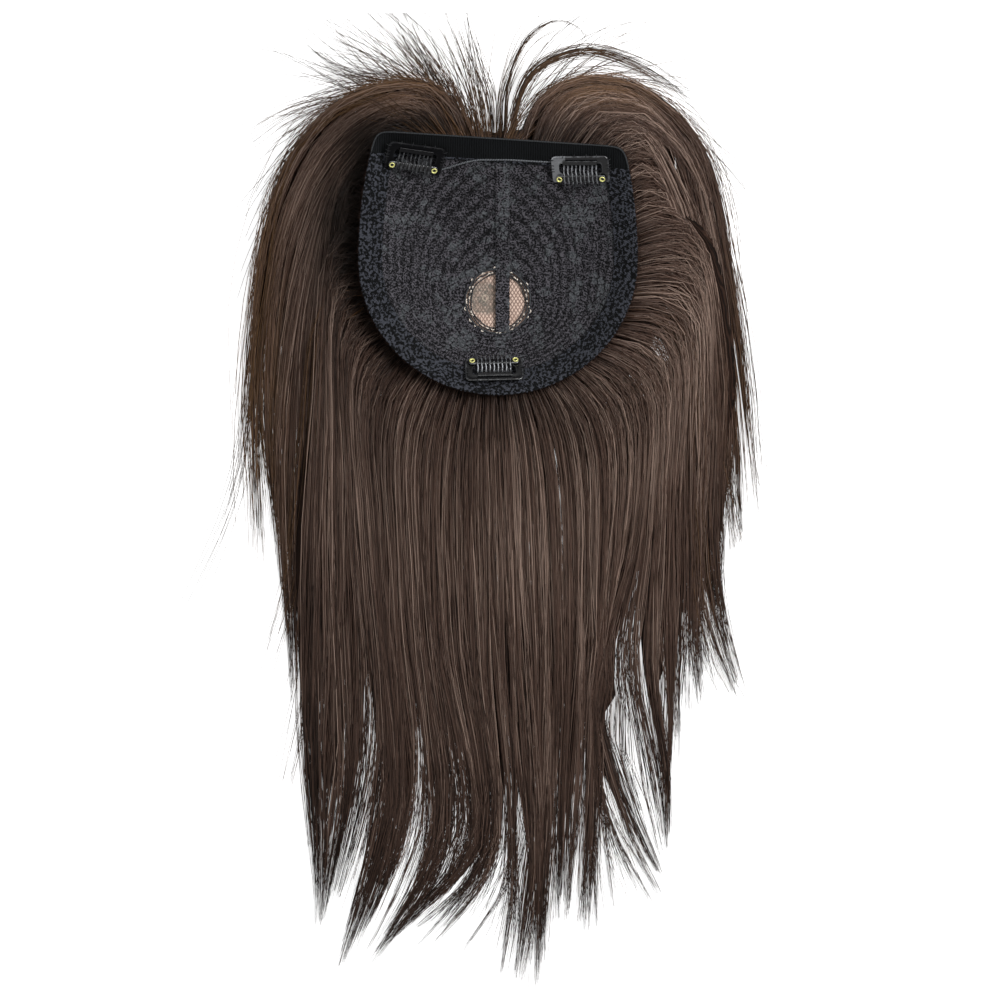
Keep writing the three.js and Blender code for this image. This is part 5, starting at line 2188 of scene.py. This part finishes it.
@dataclass(frozen=True)
class Flyaways:
    """Single loose hairs that fan out over the front, and thin wisps that stand off the sides."""

    count: int = 360
    left_spray: int = 190
    right_spray: int = 60
    half: float = 0.21 * MM
    front_end: float = 160 * MM
    wisp_end: float = 158 * MM
    seed: int = 5
    stations: int = 16

    def build(self, finish: bpy.types.Material) -> bpy.types.Object:
        """Makes the loose hairs.

        Args:
            finish: Their material.

        Returns:
            The piece.
        """
        draw = np.random.default_rng(self.seed)
        wisps = [self.wisp(lock, draw) for lock in STRAY_LOCKS]
        left = self.spray(RING[0], self.left_spray, draw)
        right = self.spray(RING[-1], self.right_spray, draw)
        paths = np.concatenate([self.fan(draw), left, right, *wisps])
        tone = np.clip(draw.normal(0.14, 0.12, len(paths)), 0, 1)[:, None]
        # Painted backlight: a random golden share for each loose hair.
        gold = draw.uniform(0.0, 0.3, len(paths))[:, None]
        thick = self.half * (1 - 0.55 * np.linspace(0, 1, self.stations) ** 2)
        draft = Draft()
        draft.sweep(paths, thick, thick, 3, tone=tone, gold=gold, shadow=0.0)
        return draft.piece("hair_flyaways", finish)

    def wisp(self, lock: Lock, draw: np.random.Generator) -> np.ndarray:
        """A few hairs along one stray lock, spreading towards its tip.

        Args:
            lock: The stray lock.
            draw: The random numbers.

        Returns:
            Their points.
        """
        count = lock.hairs
        longest = draw.uniform(0.7, 1.0, count)[:, None]
        share = 0.08 + (longest - 0.08) * np.linspace(0, 1, self.stations)
        plan = part_way(SHAPE.line(lock), share)
        spread = draw.normal(0, 1, count)[:, None] * (0.9 + 3.2 * share) * MM * (lock.width / 0.16)
        swing = waver(draw, 0.5, 1.6, share) * 12 * lock.width * MM * share
        plan = plan + beside(plan) * (spread + swing)[..., None]
        plan[..., 1] = np.minimum(plan[..., 1], self.wisp_end)
        z = SHAPE.height(share) * draw.uniform(0.5, 0.95, count)[:, None]
        z = np.maximum(under_cap(plan[..., 0], plan[..., 1], z), 0.3 * MM)
        return np.concatenate([plan, z[..., None]], -1)

    def fan(self, draw: np.random.Generator) -> np.ndarray:
        """Hairs that rise from the parting and lean further over the further out they start.

        Args:
            draw: The random numbers.

        Returns:
            Their points.
        """
        count = self.count
        right = draw.random(count) < 0.14
        start = np.where(right, draw.uniform(83, 89, count), draw.uniform(93.5, 113, count))
        turn = np.radians(start)
        rim = CAP.rim(turn) * 0.95
        root = np.stack([rim * np.cos(turn), rim * np.sin(turn)], -1)
        lean = np.where(right, 4.0 * (np.degrees(turn) - 89), 2.7 * (np.degrees(turn) - 93.5))
        heading = np.radians(np.where(right, 80, 90) + lean + draw.normal(0, 5, count))
        reach = (14 + 106 * draw.random(count) ** 1.3) * MM
        bend = np.where(right, -draw.uniform(0.3, 2.6, count), draw.uniform(-0.1, 0.8, count))
        path = self.bent(root, heading, reach, bend)
        rise = draw.uniform(4, 22, count)[:, None] * MM
        t = np.linspace(0, 1, self.stations)[None, :]
        z = 30 * MM * (1 - t) ** 2 + rise * 2 * t * (1 - t) + 0.6 * MM
        z = np.maximum(under_cap(path[..., 0], path[..., 1], z), 0.4 * MM)
        return np.concatenate([path, z[..., None]], -1)

    def spray(self, lock: Lock, count: int, draw: np.random.Generator) -> np.ndarray:
        """Hairs that leave a wave's outer edge straight on, where the wave bends down.

        Args:
            lock: The wave's outermost lock.
            count: How many hairs.
            draw: The random numbers.

        Returns:
            Their points.
        """
        line = SHAPE.line(lock)
        leave = (draw.uniform(0.1, 0.46, count) * SHAPE.samples).astype(int)
        root = line[leave]
        ahead = np.gradient(line, axis=0)[leave]
        turn = np.sign(np.cross(ahead[0], np.gradient(line, axis=0)[leave[0] + 20]))
        heading = np.arctan2(ahead[:, 1], ahead[:, 0]) - turn * draw.uniform(-0.12, 0.2, count)
        reach = draw.uniform(16, 76, count) * MM
        path = self.bent(root, heading, reach, turn * draw.uniform(0.15, 0.9, count))
        t = np.linspace(0, 1, self.stations)[None, :]
        start = SHAPE.height(leave / SHAPE.samples) * draw.uniform(0.4, 0.9, count)
        z = start[:, None] * (1 - t) + 0.5 * MM + 5 * MM * t * (1 - t)
        return np.concatenate([path, z[..., None]], -1)

    def bent(self, root: np.ndarray, heading: np.ndarray, reach: np.ndarray,
             bend: np.ndarray) -> np.ndarray:
        """Evenly bent plan lines, shortened so that they stay behind the part's front end.

        Args:
            root: Where each starts.
            heading: Its first direction.
            reach: Its length.
            bend: How far it turns.

        Returns:
            The plan lines.
        """
        t = np.linspace(0, 1, self.stations)[None, :]
        lean = heading[:, None] + bend[:, None] * t**1.3
        step = reach[:, None] / (self.stations - 1)
        x = np.cumsum(np.cos(lean), axis=1) - np.cos(lean[:, :1])
        y = np.cumsum(np.sin(lean), axis=1) - np.sin(lean[:, :1])
        highest = np.maximum((y * step).max(axis=1), 1e-4)
        scale = np.minimum(1.0, (self.front_end - root[:, 1]) / highest)[:, None]
        return np.stack([root[:, :1] + x * step * scale, root[:, 1:] + y * step * scale], -1)


# The studio


@dataclass(frozen=True)
class Studio:
    """White floor, soft lamps and the camera straight over the topper."""

    lens: float = 240.0
    view_width: float = 0.55
    centre_x: float = 1.1 * MM
    centre_y: float = -109.5 * MM
    plane: float = 20.0 * MM
    world: float = 0.36

    def build(self) -> None:
        """Makes the floor, the lamps, the sky and the camera."""
        bpy.ops.mesh.primitive_plane_add(size=6.0, location=(0, 0, 0))
        floor = bpy.context.object
        floor.name = "studio_floor"
        floor.data.materials.append(FloorFinish().material())
        self.lamp("key", (0.8, 0.3, 1.1), 0.6, 19.0)
        self.lamp("fill", (-0.9, -0.6, 1.2), 1.2, 4.5)
        self.lamp("front", (0.3, 1.1, 0.9), 0.9, 6.0)
        sky = bpy.data.worlds.new("sky")
        sky.use_nodes = True
        sky.node_tree.nodes["Background"].inputs["Color"].default_value = (1, 1, 1, 1)
        sky.node_tree.nodes["Background"].inputs["Strength"].default_value = self.world
        bpy.context.scene.world = sky
        bpy.context.scene.view_settings.view_transform = "Standard"
        self.camera()

    def lamp(self, name: str, place: tuple[float, float, float], size: float,
             power: float) -> None:
        """Adds one soft lamp that faces the topper.

        Args:
            name: The lamp's name.
            place: Where it hangs.
            size: Its side.
            power: Its power in watts.
        """
        data = bpy.data.lights.new(name, "AREA")
        data.shape, data.size, data.energy = "SQUARE", size, power
        lamp = bpy.data.objects.new(name, data)
        lamp.location = place
        towards = Vector((self.centre_x, self.centre_y, 0)) - Vector(place)
        lamp.rotation_euler = towards.to_track_quat("-Z", "Y").to_euler()
        bpy.context.scene.collection.objects.link(lamp)

    def camera(self) -> None:
        """Adds the camera, which looks straight down."""
        data = bpy.data.cameras.new("camera")
        data.lens, data.sensor_width = self.lens, 36.0
        camera = bpy.data.objects.new("camera", data)
        distance = self.view_width * self.lens / data.sensor_width
        camera.location = (self.centre_x, self.centre_y, self.plane + distance)
        bpy.context.scene.collection.objects.link(camera)
        bpy.context.scene.camera = camera


def dress_wefts() -> None:
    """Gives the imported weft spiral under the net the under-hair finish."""
    spiral = frame["nodes"]["weft_spiral"]
    spiral.data.materials.clear()
    spiral.data.materials.append(UnderHairFinish().material())


def build_clips() -> None:
    """Makes the three snap clips."""
    # Painted light: the front-left clip takes shaded copies of the enamel, the front-right a lit copy with a
    # painted reflection on its west leg, and each comb's edge setting sets how bright the painted highlight on its
    # teeth runs.
    shaded = EnamelFinish("clip_enamel_shaded", edge_wear_and_glint=0.08, roughness=0.4, gloss=0.06)
    enamels = {
        Seat.FRONT_LEFT: (shaded, EnamelFinish("comb_enamel_shaded", edge_wear_and_glint=0.12, gloss=0.2)),
        Seat.FRONT_RIGHT: (EnamelFinish("clip_enamel_lit", edge_wear_and_glint=0.5, lit_west_of=36.6 * MM),
                           EnamelFinish("comb_enamel", edge_wear_and_glint=1.5)),
        Seat.BACK: (EnamelFinish(), EnamelFinish("comb_enamel_back", edge_wear_and_glint=1.2)),
    }
    grip, brass = GripFinish().material(), EyeletFinish().material()
    thread = THREAD.material()
    for seat in Seat:
        clip = SnapClip(seat)
        frame_enamel, comb_enamel = (finish.material() for finish in enamels[seat])
        clip.build_frame(frame_enamel)
        clip.build_bar(grip)
        clip.build_comb(comb_enamel)
        clip.build_eyelets(brass)
        clip.build_threads(thread)


def build_hair() -> None:
    """Makes the hair's body, its strands and its loose hairs."""
    UnderHair().build()
    strands = StrandFinish().material()
    wave = {"loose_share": 0.3, "halo_share": 0.06, "shortening": 0.6}
    Strands("hair_left_wave", 0, 4, StrandStyle(1650, 24, **wave)).build(strands)
    Strands("hair_left_side", 4, 10, StrandStyle(2000, 21)).build(strands)
    Strands("hair_back", 10, 16, StrandStyle(2080, 22)).build(strands)
    Strands("hair_right_side", 16, 24, StrandStyle(2100, 23)).build(strands)
    right_wave = StrandStyle(1500, 25, outer_cut=0.28, **wave)
    Strands("hair_right_wave", 24, 28, right_wave).build(strands)
    Flyaways().build(strands)


def main() -> None:
    """Builds the whole scene in order."""
    Studio().build()
    build_hair()
    LaceNet().build()
    EdgeBand().build()
    FrontBand().build()
    CentreStrip().build()
    Crown().build()
    dress_wefts()
    build_clips()


if __name__ == "__main__":
    main()
